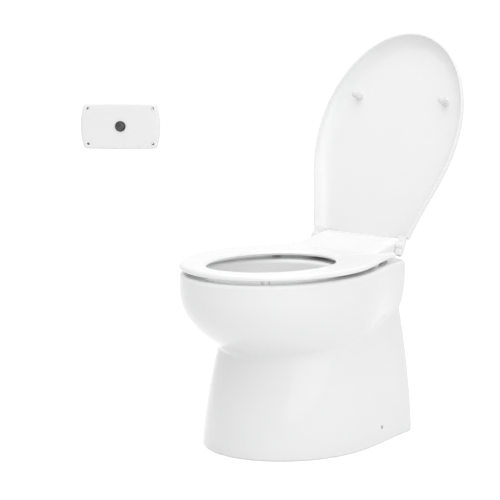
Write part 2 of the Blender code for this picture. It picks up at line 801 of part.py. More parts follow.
def pin_span():
    """The hinge pin's inner and outer ends: from inside the seat's heel into the lid's ear."""
    inner = HINGE_SPREAD - HINGE_PIN_BACKSET
    outer = BARREL_HALF_LENGTH + RUNNING_GAP + (LID_HEEL - BARREL_HALF_LENGTH) / 2
    return inner, outer


def hinge_pin(side, sign, material):
    inner, outer = pin_span()
    start, end = (sign * inner, 0, HINGE_HEIGHT), (sign * outer, 0, HINGE_HEIGHT)
    mesh = cylinder(start, end, HINGE_PIN_RADIUS, count=FINE_STEPS)
    return add_object(f"hinge_pin_{side}", mesh, material)


def hinge_washer(side, sign, material):
    inner = HINGE_HOLE_RADIUS
    outer = POST_BASE_RADIUS
    low = RIM_HEIGHT + CLEARANCE
    top = low + HINGE_WASHER_THICKNESS
    profile = [(outer, top), (outer, low), (inner, low), (inner, top)]
    item = turned(f"hinge_washer_{side}", profile, material, FINE_STEPS, hollow=True)
    item.location = (sign * HINGE_SPREAD, HINGE_BASE_Y, 0)
    return item


def hinge_nut(side, sign, material):
    """A wing nut on the stud, under the deck."""
    x = sign * HINGE_SPREAD
    top = CAVITY_TOP_HEIGHT - CLEARANCE
    low = top - NUT_HEIGHT
    start, end = (x, HINGE_BASE_Y, low), (x, HINGE_BASE_Y, top)
    mesh = cylinder(start, end, NUT_NOSE_RADIUS, NUT_RADIUS, count=FINE_STEPS)
    item = add_object(f"hinge_nut_{side}", mesh, material)
    wings = box(
        (x - NUT_WING_REACH, HINGE_BASE_Y - NUT_WING_THICKNESS / 2, low - NUT_WING_DROP),
        (x + NUT_WING_REACH, HINGE_BASE_Y + NUT_WING_THICKNESS / 2, top - NUT_WING_DROP),
    )
    bore = cylinder(
        (x, HINGE_BASE_Y, low - NUT_HEIGHT),
        (x, HINGE_BASE_Y, top + CUT_OVERRUN),
        POST_STUD_RADIUS + CLEARANCE,
        count=FINE_STEPS,
    )
    join(item, add_object(f"nut_wing_form_{side}", wings))
    cut(item, add_object(f"nut_bore_cutter_{side}", bore))
    return item


def axis_empty(name, location, turn=(0, 0, 0)):
    empty = bpy.data.objects.new(name, None)
    PARTS.objects.link(empty)
    empty.location = location
    empty.rotation_euler = turn
    return empty


def seat_rings(outer, opening):
    """Section of the seat ring, from its bottom outer edge over the top to its inner edge."""
    bottom = SEAT_BOTTOM_HEIGHT - HINGE_HEIGHT
    top = SEAT_TOP_HEIGHT - HINGE_HEIGHT
    edge = SEAT_OUTER_ROUNDING
    rings = [ring(shrink(outer, edge * SEAT_FOOT_SHARE), bottom)]
    for degrees in SEAT_EDGE_DEGREES:
        angle = math.radians(degrees)
        width = edge * (1 - math.cos(angle))
        rings.append(ring(shrink(outer, width), top - edge + edge * math.sin(angle)))
    for width_share, drop_share in zip(SEAT_SLOPE_WIDTH_SHARES, SEAT_SLOPE_DROP_SHARES):
        width = SEAT_INNER_SLOPE * width_share
        rings.append(ring(grow(opening, width), top - SEAT_THICKNESS * drop_share))
    rings.append(ring(grow(opening, SEAT_INNER_SLOPE * SEAT_SLOPE_FOOT_SHARE), bottom))
    return rings


def heel_profile(width):
    """The raised heel in the YZ plane, drawn in by a width: a ramp from the seat's top up to a
    barrel on the axis, and a step down behind the seat's back edge."""
    top = SEAT_TOP_HEIGHT - HINGE_HEIGHT + CLEARANCE
    bottom = SEAT_BOTTOM_HEIGHT - HINGE_HEIGHT + RUNNING_GAP
    crown = BARREL_RADIUS - width
    points = [(-HEEL_RAMP_LENGTH + width, top)]
    for step in range(HEEL_RAMP_STEPS):
        share = step / HEEL_RAMP_STEPS
        eased = share * share * (3 - 2 * share)
        ahead = (HEEL_RAMP_LENGTH - width) * (1 - share)
        points.append((-ahead, mix(top + HEEL_LIP, crown, eased)))
    points += arc((0, 0), crown, *BARREL_DEGREES, HEEL_RAMP_STEPS)
    points += [(-SEAT_BACK_AHEAD / 2, bottom), (-SEAT_BACK_AHEAD + CLEARANCE, bottom)]
    points.append((-SEAT_BACK_AHEAD + CLEARANCE, top))
    return points


def heel_form():
    """The heel's sections from side to side, drawn in towards both ends."""
    sections = []
    for degrees in HEEL_END_DEGREES:
        angle = math.radians(degrees)
        x = BARREL_HALF_LENGTH - HEEL_ROUNDING * (1 - math.sin(angle))
        sections.append((x, HEEL_ROUNDING * (1 - math.cos(angle))))
    sections = [(-x, width) for x, width in reversed(sections)] + sections
    return loft([[Vector((x, y, z)) for y, z in heel_profile(width)] for x, width in sections])


def pocket_profile():
    """The hollow under the heel that a hinge post stands in, open below and behind."""
    radius = POST_KNUCKLE_RADIUS + RUNNING_GAP
    floor = RIM_HEIGHT - HINGE_HEIGHT - CUT_OVERRUN
    front = -HINGE_BASE_AHEAD - POST_LEG_HALF_DEPTH - POCKET_SIDE_GAP
    step_height = SEAT_BOTTOM_HEIGHT - HINGE_HEIGHT + POCKET_SIDE_GAP
    behind = BARREL_RADIUS + CUT_OVERRUN
    knuckle = arc((0, 0), radius, *POCKET_DEGREES, POCKET_STEPS)
    back = [(behind, knuckle[-1][1]), (behind, floor)]
    return [(front, floor), (front, step_height)] + knuckle + back


def cut_pockets(item, empty):
    """Room for both hinge posts."""
    for side, sign in (("left", 1), ("right", -1)):
        reach = POST_HALF_WIDTH + POCKET_SIDE_GAP
        x = sign * HINGE_SPREAD
        pocket = add_object(f"pocket_cutter_{side}", prism(pocket_profile(), x - reach, x + reach))
        pocket.parent = empty
        cut(item, pocket)


def seat(material, empty):
    """The flat ring that is sat on."""
    outer = Outline(
        SEAT_HALF_WIDTH,
        -SEAT_FRONT_REACH,
        -SEAT_FRONT_REACH + (SEAT_FRONT_REACH - SEAT_BACK_AHEAD) * SEAT_WIDEST_SHARE,
        -SEAT_BACK_AHEAD,
        SEAT_HEEL,
        SEAT_CORNER,
    )
    opening = Oval(
        SEAT_OPENING_HALF_WIDTH,
        -SEAT_OPENING_AHEAD - SEAT_OPENING_LENGTH,
        -SEAT_OPENING_AHEAD,
    )
    item = add_object("seat", loft(seat_rings(outer, opening), looped=True), material, empty)
    cut_pockets(item, empty)
    return item


def seat_heel(material, empty):
    """The raised block behind the ring, which swings on the two hinge pins."""
    item = add_object("seat_heel", heel_form(), material, empty)
    cut_pockets(item, empty)
    inner, _ = pin_span()
    for side, sign in (("left", 1), ("right", -1)):
        start = (sign * (inner - RUNNING_GAP), 0, 0)
        end = (sign * (BARREL_HALF_LENGTH + CUT_OVERRUN), 0, 0)
        mesh = cylinder(start, end, HINGE_PIN_RADIUS + CLEARANCE, count=FINE_STEPS)
        bore = add_object(f"heel_bore_cutter_{side}", mesh)
        bore.parent = empty
        cut(item, bore)
    return item


def seat_buffers(material, empty):
    """Four rubber feet under the seat ring."""
    bottom = RIM_HEIGHT + CLEARANCE - HINGE_HEIGHT
    top = SEAT_BOTTOM_HEIGHT - CLEARANCE - HINGE_HEIGHT
    places = (
        ("front", SEAT_BUFFER_FRONT_SPREAD, SEAT_FRONT_REACH - SEAT_BUFFER_FRONT_INSET),
        ("back", SEAT_BUFFER_BACK_SPREAD, SEAT_BUFFER_BACK_AHEAD),
    )
    for row, spread, ahead in places:
        for side, sign in (("left", 1), ("right", -1)):
            low, high = (sign * spread, -ahead, bottom), (sign * spread, -ahead, top)
            mesh = cylinder(low, high, SEAT_BUFFER_TIP_RADIUS, SEAT_BUFFER_RADIUS, count=FINE_STEPS)
            add_object(f"seat_buffer_{row}_{side}", mesh, material, empty)


def lid_levels():
    """The lid's outer skin from its rim to its crown, drawn closed about the hinge axis."""
    outline = Outline(LID_HALF_WIDTH, -LID_REACH, -LID_WIDEST_AHEAD, LID_TAIL, LID_HEEL, LID_CORNER)
    rim = SEAT_TOP_HEIGHT + LID_RIM_GAP - HINGE_HEIGHT
    levels = []
    for share in LID_RISE_SHARES:
        height = mix(rim, LID_TAIL, math.sqrt(1 - (1 - share) ** 2))
        shape = inset(
            outline,
            LID_SIDE_ROUND * share,
            LID_FRONT_ROUND * share,
            LID_TAIL * share,
            LID_HEEL_ROUND * share,
        )
        levels.append((shape, height))
    flat = levels[-1][0]
    middle = Outline(0, flat.widest, flat.widest, flat.widest, 0, 0)
    for share in LID_CROWN_SHARES:
        levels.append((mix_all(flat, middle, share), LID_TAIL + LID_CROWN * share))
    return levels


def lid(material, empty):
    bm = bmesh.new()
    rows = []
    for shape, height in lid_levels():
        rows.append([bm.verts.new(point) for point in ring(shape, height)])
    for low, high in zip(rows, rows[1:]):
        for index in range(len(low)):
            other = (index + 1) % len(low)
            bm.faces.new((low[index], low[other], high[other], high[index]))
    bm.faces.new(rows[-1])
    bmesh.ops.triangulate(bm, faces=bm.faces)
    mesh = bpy.data.meshes.new("lid")
    bm.to_mesh(mesh)
    bm.free()
    item = add_object("lid", mesh, material, empty)
    skin = item.modifiers.new("skin", "SOLIDIFY")
    skin.thickness = LID_SKIN
    skin.offset = -1.0
    skin.use_even_offset = True
    behind = box(
        (-LID_HALF_WIDTH, -LID_END_AHEAD, -LID_TAIL),
        (LID_HALF_WIDTH, LID_TAIL + CUT_OVERRUN, LID_TAIL + CUT_OVERRUN),
    )
    cutter = add_object("lid_end_cutter", behind)
    cutter.parent = empty
    cut(item, cutter)
    return item


def lid_arm(side, sign, material, empty):
    """One of the two arms that carry the lid past the seat's heel and turn on the hinge pins."""
    front = -LID_END_AHEAD + CLEARANCE
    rim = SEAT_TOP_HEIGHT + LID_RIM_GAP - HINGE_HEIGHT
    dip = math.degrees(math.asin(-rim / EAR_RADIUS))
    under = arc((0, 0), EAR_RADIUS, 180.0 + dip, 360.0 - dip, ARM_STEPS)
    middle = LID_TAIL - ARM_ROUNDING
    over = arc((middle, middle), ARM_ROUNDING, 0.0, 90.0, ARM_STEPS)
    profile = [(front, rim)] + under + [(LID_TAIL, rim)] + over + [(front, LID_TAIL)]
    inner = sign * (BARREL_HALF_LENGTH + RUNNING_GAP)
    mesh = prism(profile, inner, sign * ARM_OUTER_REACH)
    item = add_object(f"lid_arm_{side}", mesh, material, empty)
    _, pin_end = pin_span()
    mesh = cylinder(
        (inner - sign * CUT_OVERRUN, 0, 0),
        (sign * (pin_end + RUNNING_GAP), 0, 0),
        HINGE_PIN_RADIUS + CLEARANCE,
        count=FINE_STEPS,
    )
    bore = add_object(f"arm_bore_cutter_{side}", mesh)
    bore.parent = empty
    cut(item, bore)
    return item


def lid_buffers(material, empty):
    """Two rubber knobs on the lid's inner face, which meet the seat when the lid is down."""
    top = LID_TAIL - LID_SKIN - CLEARANCE
    bottom = SEAT_TOP_HEIGHT + CLEARANCE - HINGE_HEIGHT
    for side, sign in (("left", 1), ("right", -1)):
        x = sign * LID_BUFFER_SPREAD
        low, high = (x, -LID_BUFFER_AHEAD, bottom), (x, -LID_BUFFER_AHEAD, top)
        mesh = cylinder(low, high, LID_BUFFER_TIP_RADIUS, LID_BUFFER_RADIUS, count=FINE_STEPS)
        add_object(f"lid_buffer_{side}", mesh, material, empty)


NECK_TOP_HEIGHT = SPIGOT_BOTTOM_HEIGHT - CLEARANCE - SEAL_RING_HEIGHT - CLEARANCE
CHAMBER_FRONT_Y = OUTLET_Y - CHAMBER_LENGTH / 2
CHAMBER_BACK_Y = OUTLET_Y + CHAMBER_LENGTH / 2
DISCHARGE_FACE_Y = CHAMBER_BACK_Y + DISCHARGE_NECK_LENGTH
MOTOR_BACK_Y = CHAMBER_FRONT_Y - CLEARANCE - SEAL_PLATE_THICKNESS - CLEARANCE
MOTOR_FRONT_Y = FOOT.front + SHELL_WALL + MOTOR_FRONT_ROOM + MOTOR_CAP_LENGTH + CLEARANCE
MOTOR_LENGTH = MOTOR_BACK_Y - MOTOR_FRONT_Y


def pump_axis(y):
    return (0, y, PUMP_AXIS_HEIGHT)


def macerator_housing(material):
    """Cutting chamber: a drum open to the motor, an inlet neck on top, a discharge neck behind."""
    drum = cylinder(pump_axis(CHAMBER_FRONT_Y), pump_axis(CHAMBER_BACK_Y), CHAMBER_RADIUS)
    item = add_object("macerator_housing", drum, material)
    neck_radius = NECK_BORE_RADIUS + NECK_WALL
    discharge_radius = DISCHARGE_BORE_RADIUS + NECK_WALL
    inside = CHAMBER_BACK_Y - CHAMBER_WALL
    forms = {
        "neck_form": (
            (0, OUTLET_Y, PUMP_AXIS_HEIGHT),
            (0, OUTLET_Y, NECK_TOP_HEIGHT - FLANGE_THICKNESS / 2),
            neck_radius,
        ),
        "neck_flange_form": (
            (0, OUTLET_Y, NECK_TOP_HEIGHT - FLANGE_THICKNESS),
            (0, OUTLET_Y, NECK_TOP_HEIGHT),
            NECK_FLANGE_RADIUS,
        ),
        "discharge_form": (
            pump_axis(inside),
            pump_axis(DISCHARGE_FACE_Y - FLANGE_THICKNESS / 2),
            discharge_radius,
        ),
        "discharge_flange_form": (
            pump_axis(DISCHARGE_FACE_Y - FLANGE_THICKNESS),
            pump_axis(DISCHARGE_FACE_Y),
            DISCHARGE_FLANGE_RADIUS,
        ),
    }
    for name, (start, end, radius) in forms.items():
        join(item, add_object(name, cylinder(start, end, radius)))
    bores = {
        "chamber_cutter": (
            pump_axis(CHAMBER_FRONT_Y - CUT_OVERRUN),
            pump_axis(inside),
            CHAMBER_RADIUS - CHAMBER_WALL,
        ),
        "neck_bore_cutter": (
            (0, OUTLET_Y, PUMP_AXIS_HEIGHT),
            (0, OUTLET_Y, NECK_TOP_HEIGHT + CUT_OVERRUN),
            NECK_BORE_RADIUS,
        ),
        "discharge_bore_cutter": (
            pump_axis(inside - CUT_OVERRUN),
            pump_axis(DISCHARGE_FACE_Y + CUT_OVERRUN),
            DISCHARGE_BORE_RADIUS,
        ),
    }
    for name, (start, end, radius) in bores.items():
        cut(item, add_object(name, cylinder(start, end, radius)))
    return item


def bowl_outlet_seal(material):
    """Thick rubber ring squeezed between the ceramic spigot and the pump's inlet flange."""
    low = NECK_TOP_HEIGHT + CLEARANCE
    top = low + SEAL_RING_HEIGHT
    inner = NECK_BORE_RADIUS
    outer = inner + SEAL_RING_WALL
    waist = outer - CLAMP_BAND
    band_low = mix(low, top, 0.5) - CLAMP_WIDTH / 2 - CLEARANCE
    band_top = band_low + CLAMP_WIDTH + CLEARANCE + CLEARANCE
    profile = [
        (outer, top),
        (outer, band_top),
        (waist, band_top),
        (waist, band_low),
        (outer, band_low),
        (outer, low),
        (inner, low),
        (inner, top),
    ]
    item = turned("bowl_outlet_seal", profile, material, hollow=True)
    item.location = (0, OUTLET_Y, 0)
    return item


def outlet_clamp(material):
    """Steel band in the seal's groove, with the block that its screw runs in."""
    low = NECK_TOP_HEIGHT + CLEARANCE + SEAL_RING_HEIGHT / 2 - CLAMP_WIDTH / 2
    top = low + CLAMP_WIDTH
    inner = NECK_BORE_RADIUS + SEAL_RING_WALL - CLAMP_BAND + CLEARANCE
    outer = inner + CLAMP_BAND
    profile = [(outer, top), (outer, low), (inner, low), (inner, top)]
    item = turned("outlet_clamp", profile, material, hollow=True)
    item.location = (0, OUTLET_Y, 0)
    lug = box(
        (outer - CLAMP_BAND / 2, OUTLET_Y - CLAMP_LUG, low),
        (outer + CLAMP_LUG, OUTLET_Y + CLAMP_LUG, top),
    )
    join(item, add_object("clamp_lug_form", lug))
    return item


def seal_plate(material):
    """Disc that closes the chamber at the motor's end and holds the shaft seal in its boss."""
    bore = SHAFT_RADIUS + SHAFT_SEAL_WALL + CLEARANCE + CLEARANCE
    plate = SEAL_PLATE_THICKNESS
    boss = plate + SEAL_BOSS_LENGTH
    profile = [
        (SEAL_BOSS_RADIUS, boss),
        (SEAL_BOSS_RADIUS, plate),
        (CHAMBER_RADIUS, plate),
        (CHAMBER_RADIUS, 0),
        (bore, 0),
        (bore, boss),
    ]
    item = turned("seal_plate", profile, material, hollow=True)
    face_back(item, pump_axis(MOTOR_BACK_Y + CLEARANCE))
    return item


def shaft_seal(material):
    inner = SHAFT_RADIUS + CLEARANCE
    outer = inner + SHAFT_SEAL_WALL
    top = SEAL_PLATE_THICKNESS + SEAL_BOSS_LENGTH
    profile = [(outer, top), (outer, CLEARANCE), (inner, CLEARANCE), (inner, top)]
    item = turned("shaft_seal", profile, material, FINE_STEPS, hollow=True)
    face_back(item, pump_axis(MOTOR_BACK_Y + CLEARANCE))
    return item


def motor_body(material):
    """Closed steel can with two rolled ribs and a bore for the shaft."""
    bore = SHAFT_RADIUS + CLEARANCE
    rib = MOTOR_RADIUS + MOTOR_RIB_HEIGHT
    end = MOTOR_LENGTH
    profile = [(0, end - SHAFT_IN_MOTOR - RUNNING_GAP), (bore, end - SHAFT_IN_MOTOR - RUNNING_GAP)]
    profile += [(bore, end), (MOTOR_RADIUS, end)]
    half = MOTOR_RIB_HALF_WIDTH
    for share in MOTOR_RIB_SHARES:
        middle = end * share
        profile += [
            (MOTOR_RADIUS, middle + half),
            (rib, middle + half / 2),
            (rib, middle - half / 2),
            (MOTOR_RADIUS, middle - half),
        ]
    profile += [(MOTOR_RADIUS, 0), (0, 0)]
    item = turned("motor_body", profile, material)
    face_back(item, pump_axis(MOTOR_FRONT_Y))
    return item


def motor_end_cap(material):
    """Domed cap on the motor's far end, with the gland its leads would leave by."""
    radius = MOTOR_RADIUS + MOTOR_CAP_LIP
    length = MOTOR_CAP_LENGTH
    dome = MOTOR_DOME_LENGTH
    profile = [(0, length), (radius, length), (radius, dome)]
    for degrees in MOTOR_DOME_DEGREES:
        angle = math.radians(degrees)
        profile.append((radius * math.cos(angle), dome * (1 - math.sin(angle))))
    profile.append((0, 0))
    item = turned("motor_end_cap", profile, material)
    face_back(item, pump_axis(MOTOR_FRONT_Y - CLEARANCE - length))
    y = MOTOR_FRONT_Y - MOTOR_GLAND_BACKSET
    low = PUMP_AXIS_HEIGHT + MOTOR_RADIUS - MOTOR_GLAND_LENGTH / 2
    top = low + MOTOR_GLAND_LENGTH
    gland = cylinder((0, y, low), (0, y, top), MOTOR_GLAND_RADIUS, count=FINE_STEPS)
    join(item, add_object("motor_gland_form", gland))
    return item


IMPELLER_BACK_Y = CHAMBER_BACK_Y - CHAMBER_WALL - RUNNING_GAP
SHAFT_END_Y = IMPELLER_BACK_Y
SHAFT_START_Y = MOTOR_BACK_Y - SHAFT_IN_MOTOR


def pump_shaft(material):
    length = SHAFT_END_Y - SHAFT_START_Y
    nose = length - SHAFT_NOSE
    profile = [
        (0, length),
        (SHAFT_TIP_RADIUS, length),
        (SHAFT_RADIUS, nose),
        (SHAFT_RADIUS, 0),
        (0, 0),
    ]
    item = turned("pump_shaft", profile, material, FINE_STEPS)
    face_back(item, pump_axis(SHAFT_START_Y))
    return item


def vaned_disc(name, hub, tip, arms, sweep, spread, start_y, width, material):
    """A hub with swept arms, drawn in polar points and pulled along the shaft."""
    outline = []
    for arm in range(arms):
        root = 360.0 * arm / arms
        bend = root + sweep * ARM_MIDDLE_SWEEP_SHARE
        outline.append((hub, root - spread / 2))
        outline.append(((hub + tip) / 2, bend - spread * ARM_MIDDLE_SPREAD_SHARE))
        outline.append((tip, root + sweep - spread * ARM_TIP_SPREAD_SHARE))
        outline.append((tip, root + sweep + spread * ARM_TIP_SPREAD_SHARE))
        outline.append(((hub + tip) / 2, bend + spread * ARM_MIDDLE_SPREAD_SHARE))
        outline.append((hub, root + spread / 2))
        gap = 360.0 / arms - spread
        steps = max(1, int(gap // HUB_STEP_DEGREES))
        for step in range(1, steps + 1):
            outline.append((hub, root + spread / 2 + gap * step / (steps + 1)))
    rings = []
    for y in (start_y, start_y + width):
        points = []
        for radius, degrees in outline:
            angle = math.radians(degrees)
            points.append(
                Vector((radius * math.cos(angle), y, PUMP_AXIS_HEIGHT + radius * math.sin(angle)))
            )
        rings.append(points)
    item = add_object(name, loft(rings), material)
    bore = cylinder(
        pump_axis(start_y - CUT_OVERRUN),
        pump_axis(start_y + width + CUT_OVERRUN),
        SHAFT_RADIUS + CLEARANCE,
        count=FINE_STEPS,
    )
    cut(item, add_object(f"{name}_bore_cutter", bore))
    return item


def pump_impeller(material):
    return vaned_disc(
        "pump_impeller",
        IMPELLER_HUB_RADIUS,
        IMPELLER_RADIUS,
        IMPELLER_VANE_COUNT,
        IMPELLER_SWEEP_DEGREES,
        IMPELLER_VANE_DEGREES,
        IMPELLER_BACK_Y - SHAFT_NOSE - IMPELLER_WIDTH,
        IMPELLER_WIDTH,
        material,
    )


def macerator_blade(material):
    start = CHAMBER_FRONT_Y + SEAL_BOSS_LENGTH + RUNNING_GAP
    return vaned_disc(
        "macerator_blade",
        BLADE_HUB_RADIUS,
        BLADE_RADIUS,
        BLADE_ARM_COUNT,
        BLADE_SWEEP_DEGREES,
        BLADE_ARM_DEGREES,
        start,
        BLADE_WIDTH,
        material,
    )


def pump_base(material):
    """Moulded foot: a floor plate with a saddle under the chamber and one under the motor."""
    front = MOTOR_FRONT_Y + SADDLE_THICKNESS / 2
    back = CHAMBER_BACK_Y - SADDLE_THICKNESS / 4
    plate = box((-BASE_HALF_WIDTH, front, FLOOR), (BASE_HALF_WIDTH, back, BASE_THICKNESS))
    item = add_object("pump_base", plate, material)
    motor_middle = mix(MOTOR_FRONT_Y, MOTOR_BACK_Y, SADDLE_SHARE)
    for name, middle in (("motor_saddle", motor_middle), ("chamber_saddle", OUTLET_Y)):
        low = (-SADDLE_HALF_WIDTH, middle - SADDLE_THICKNESS / 2, BASE_THICKNESS / 2)
        high = (SADDLE_HALF_WIDTH, middle + SADDLE_THICKNESS / 2, SADDLE_HEIGHT)
        join(item, add_object(f"{name}_form", box(low, high)))
    motor = cylinder(
        pump_axis(MOTOR_FRONT_Y - CUT_OVERRUN),
        pump_axis(MOTOR_BACK_Y),
        MOTOR_RADIUS + CLEARANCE,
        count=SADDLE_STEPS,
    )
    chamber = cylinder(
        pump_axis(MOTOR_BACK_Y - CUT_OVERRUN),
        pump_axis(CHAMBER_BACK_Y + CUT_OVERRUN),
        CHAMBER_RADIUS + CLEARANCE,
        count=SADDLE_STEPS,
    )
    cut(item, add_object("motor_seat_cutter", motor), add_object("chamber_seat_cutter", chamber))
    return item


VALVE_FACE_Y = DISCHARGE_FACE_Y + CLEARANCE
TAIL_FACE_Y = VALVE_FACE_Y + VALVE_FLANGE_THICKNESS + CLEARANCE


def joker_valve(material):
    """One-way rubber sleeve: a flange, and a round throat flattened to a slit at its far end."""
    along, up = Vector((0, 1, 0)), Vector((0, 0, 1))
    outer, inner = DUCKBILL_RADIUS, DUCKBILL_RADIUS - DUCKBILL_WALL
    lip = DUCKBILL_LIP_HALF_WIDTH
    lip_flat = (DUCKBILL_LIP_HALF_GAP + DUCKBILL_WALL) / lip
    inner_lip = lip - DUCKBILL_WALL
    back = VALVE_FACE_Y + VALVE_FLANGE_THICKNESS
    end = back + DUCKBILL_LENGTH
    throat = [mix(back, end, share) for share in DUCKBILL_STATION_SHARES]
    outside = [(y, outer, flat) for y, flat in zip(throat, DUCKBILL_OUTER_FLAT_SHARES)]
    inside = [(y, inner, flat) for y, flat in zip(throat, DUCKBILL_INNER_FLAT_SHARES)]
    stations = [
        (VALVE_FACE_Y, DISCHARGE_FLANGE_RADIUS, 1.0),
        (back, DISCHARGE_FLANGE_RADIUS, 1.0),
        (back, outer, 1.0),
        *outside,
        (end, lip, lip_flat),
        (end, inner_lip, DUCKBILL_LIP_HALF_GAP / inner_lip),
        *reversed(inside),
        (back, inner, 1.0),
        (VALVE_FACE_Y, inner, 1.0),
    ]
    rings = [
        circle(Vector(pump_axis(y)), radius, along, up, ROUND_STEPS, flat)
        for y, radius, flat in stations
    ]
    return add_object("joker_valve", loft(rings, looped=True), material)


def discharge_tail(material):
    """Flanged outlet with barbs."""
    outer = TAIL_BORE_RADIUS + TAIL_WALL
    barb = outer + TAIL_BARB_HEIGHT
    end = TAIL_LENGTH
    profile = [(outer - TAIL_BARB_HEIGHT, end)]
    for turn in range(TAIL_BARB_COUNT):
        top = end - TAIL_BARB_PITCH * turn
        profile += [(barb, top - TAIL_BARB_CREST), (outer, top - TAIL_BARB_ROOT)]
    profile += [
        (outer, FLANGE_THICKNESS),
        (DISCHARGE_FLANGE_RADIUS, FLANGE_THICKNESS),
        (DISCHARGE_FLANGE_RADIUS, 0),
        (TAIL_BORE_RADIUS, 0),
        (TAIL_BORE_RADIUS, end),
    ]
    item = turned("discharge_tail", profile, material, hollow=True)
    face_back(item, pump_axis(TAIL_FACE_Y))
    return item


RINSE_Y = -RINSE_VALVE_AHEAD
RINSE_TOP_HEIGHT = RINSE_VALVE_HEIGHT + RINSE_BODY_HALF_HEIGHT
PLUNGER_BOTTOM_HEIGHT = RINSE_TOP_HEIGHT - PLUNGER_SINK + CLEARANCE
PLUNGER_TOP_HEIGHT = PLUNGER_BOTTOM_HEIGHT + PLUNGER_LENGTH
COIL_BOTTOM_HEIGHT = RINSE_TOP_HEIGHT + CLEARANCE
COIL_BORE_TOP_HEIGHT = COIL_BOTTOM_HEIGHT + COIL_HEIGHT - COIL_CAP_THICKNESS


def rinse_valve_body(material):
    """Valve block with a barbed tail each side, on a bracket against the back wall."""
    height = RINSE_VALVE_HEIGHT
    half_width = RINSE_BODY_HALF_WIDTH
    block = box(
        (-half_width, RINSE_Y - RINSE_BODY_HALF_DEPTH, height - RINSE_BODY_HALF_HEIGHT),
        (half_width, RINSE_Y + RINSE_BODY_HALF_DEPTH, RINSE_TOP_HEIGHT),
    )
    item = add_object("rinse_valve_body", block, material)
    reach = half_width + RINSE_TAIL_LENGTH
    tails = cylinder(
        (-reach, RINSE_Y, height),
        (reach, RINSE_Y, height),
        RINSE_TAIL_RADIUS,
        count=FINE_STEPS,
    )
    wall = BACK_WALL_INNER_Y - CLEARANCE
    low = height - RINSE_BRACKET_HEIGHT / 2
    plate = box(
        (-RINSE_BRACKET_HALF_WIDTH, wall - RINSE_BRACKET_THICKNESS, low),
        (RINSE_BRACKET_HALF_WIDTH, wall, low + RINSE_BRACKET_HEIGHT),
    )
    arm = box(
        (-half_width / 2, RINSE_Y, height - RINSE_BRACKET_THICKNESS),
        (half_width / 2, wall - RINSE_BRACKET_THICKNESS / 2, height + RINSE_BRACKET_THICKNESS),
    )
    join(item, add_object("rinse_tail_form", tails))
    join(item, add_object("rinse_arm_form", arm))
    join(item, add_object("rinse_bracket_form", plate))
    well = cylinder(
        (0, RINSE_Y, RINSE_TOP_HEIGHT - PLUNGER_SINK),
        (0, RINSE_Y, RINSE_TOP_HEIGHT + CUT_OVERRUN),
        COIL_BORE_RADIUS,
        count=FINE_STEPS,
    )
    cut(item, add_object("rinse_well_cutter", well))
    return item


def rinse_valve_coil(material):
    low = (-COIL_HALF_WIDTH, RINSE_Y - COIL_HALF_WIDTH, COIL_BOTTOM_HEIGHT)
    high = (COIL_HALF_WIDTH, RINSE_Y + COIL_HALF_WIDTH, COIL_BOTTOM_HEIGHT + COIL_HEIGHT)
    item = add_object("rinse_valve_coil", box(low, high), material)
    bore = cylinder(
        (0, RINSE_Y, COIL_BOTTOM_HEIGHT - CUT_OVERRUN),
        (0, RINSE_Y, COIL_BORE_TOP_HEIGHT),
        COIL_BORE_RADIUS,
        count=FINE_STEPS,
    )
    cut(item, add_object("coil_bore_cutter", bore))
    rounding = item.modifiers.new("rounding", "BEVEL")
    rounding.width = COIL_ROUNDING
    rounding.segments = 2
    rounding.limit_method = "ANGLE"
    rounding.angle_limit = math.radians(COIL_CORNER_DEGREES)
    item.modifiers.move(1, 0)
    return item


def rinse_valve_plunger(material):
    radius = COIL_BORE_RADIUS - CLEARANCE
    low = (0, RINSE_Y, PLUNGER_BOTTOM_HEIGHT)
    mesh = cylinder(low, (0, RINSE_Y, PLUNGER_TOP_HEIGHT), radius, count=FINE_STEPS)
    return add_object("rinse_valve_plunger", mesh, material)


def rinse_valve_spring(material):
    start = PLUNGER_TOP_HEIGHT + CLEARANCE + RINSE_SPRING_WIRE_RADIUS
    end = COIL_BORE_TOP_HEIGHT - CLEARANCE - RINSE_SPRING_WIRE_RADIUS
    radius = COIL_BORE_RADIUS - CLEARANCE - RINSE_SPRING_WIRE_RADIUS * 2
    points = helix(radius, start, end, RINSE_SPRING_COIL_COUNT)
    item = wire("rinse_valve_spring", points, RINSE_SPRING_WIRE_RADIUS, material)
    item.location = (0, RINSE_Y, 0)
    return item


NOZZLE_HEIGHT = RIM_HEIGHT - NOZZLE_DROP
NOZZLE_TAIL_Y = MOUTH_BACK + BOWL_WALL + NOZZLE_TAIL_LENGTH


def rinse_nozzle(material):
    """Spray nozzle through the bowl's back wall: a head in the bowl and a tail behind."""
    head_y = MOUTH_BACK - NOZZLE_SEAT_GAP - NOZZLE_HEAD_LENGTH
    length = NOZZLE_TAIL_Y - head_y
    head = NOZZLE_HEAD_LENGTH
    profile = [
        (NOZZLE_RADIUS, length),
        (NOZZLE_RADIUS, head),
        (NOZZLE_HEAD_RADIUS, head),
        (NOZZLE_HEAD_RADIUS, head / 2),
        (NOZZLE_MOUTH_RADIUS, 0),
        (NOZZLE_BORE_RADIUS, 0),
        (NOZZLE_BORE_RADIUS, length),
    ]
    item = turned("rinse_nozzle", profile, material, FINE_STEPS, hollow=True)
    face_back(item, (0, head_y, NOZZLE_HEIGHT))
    return item


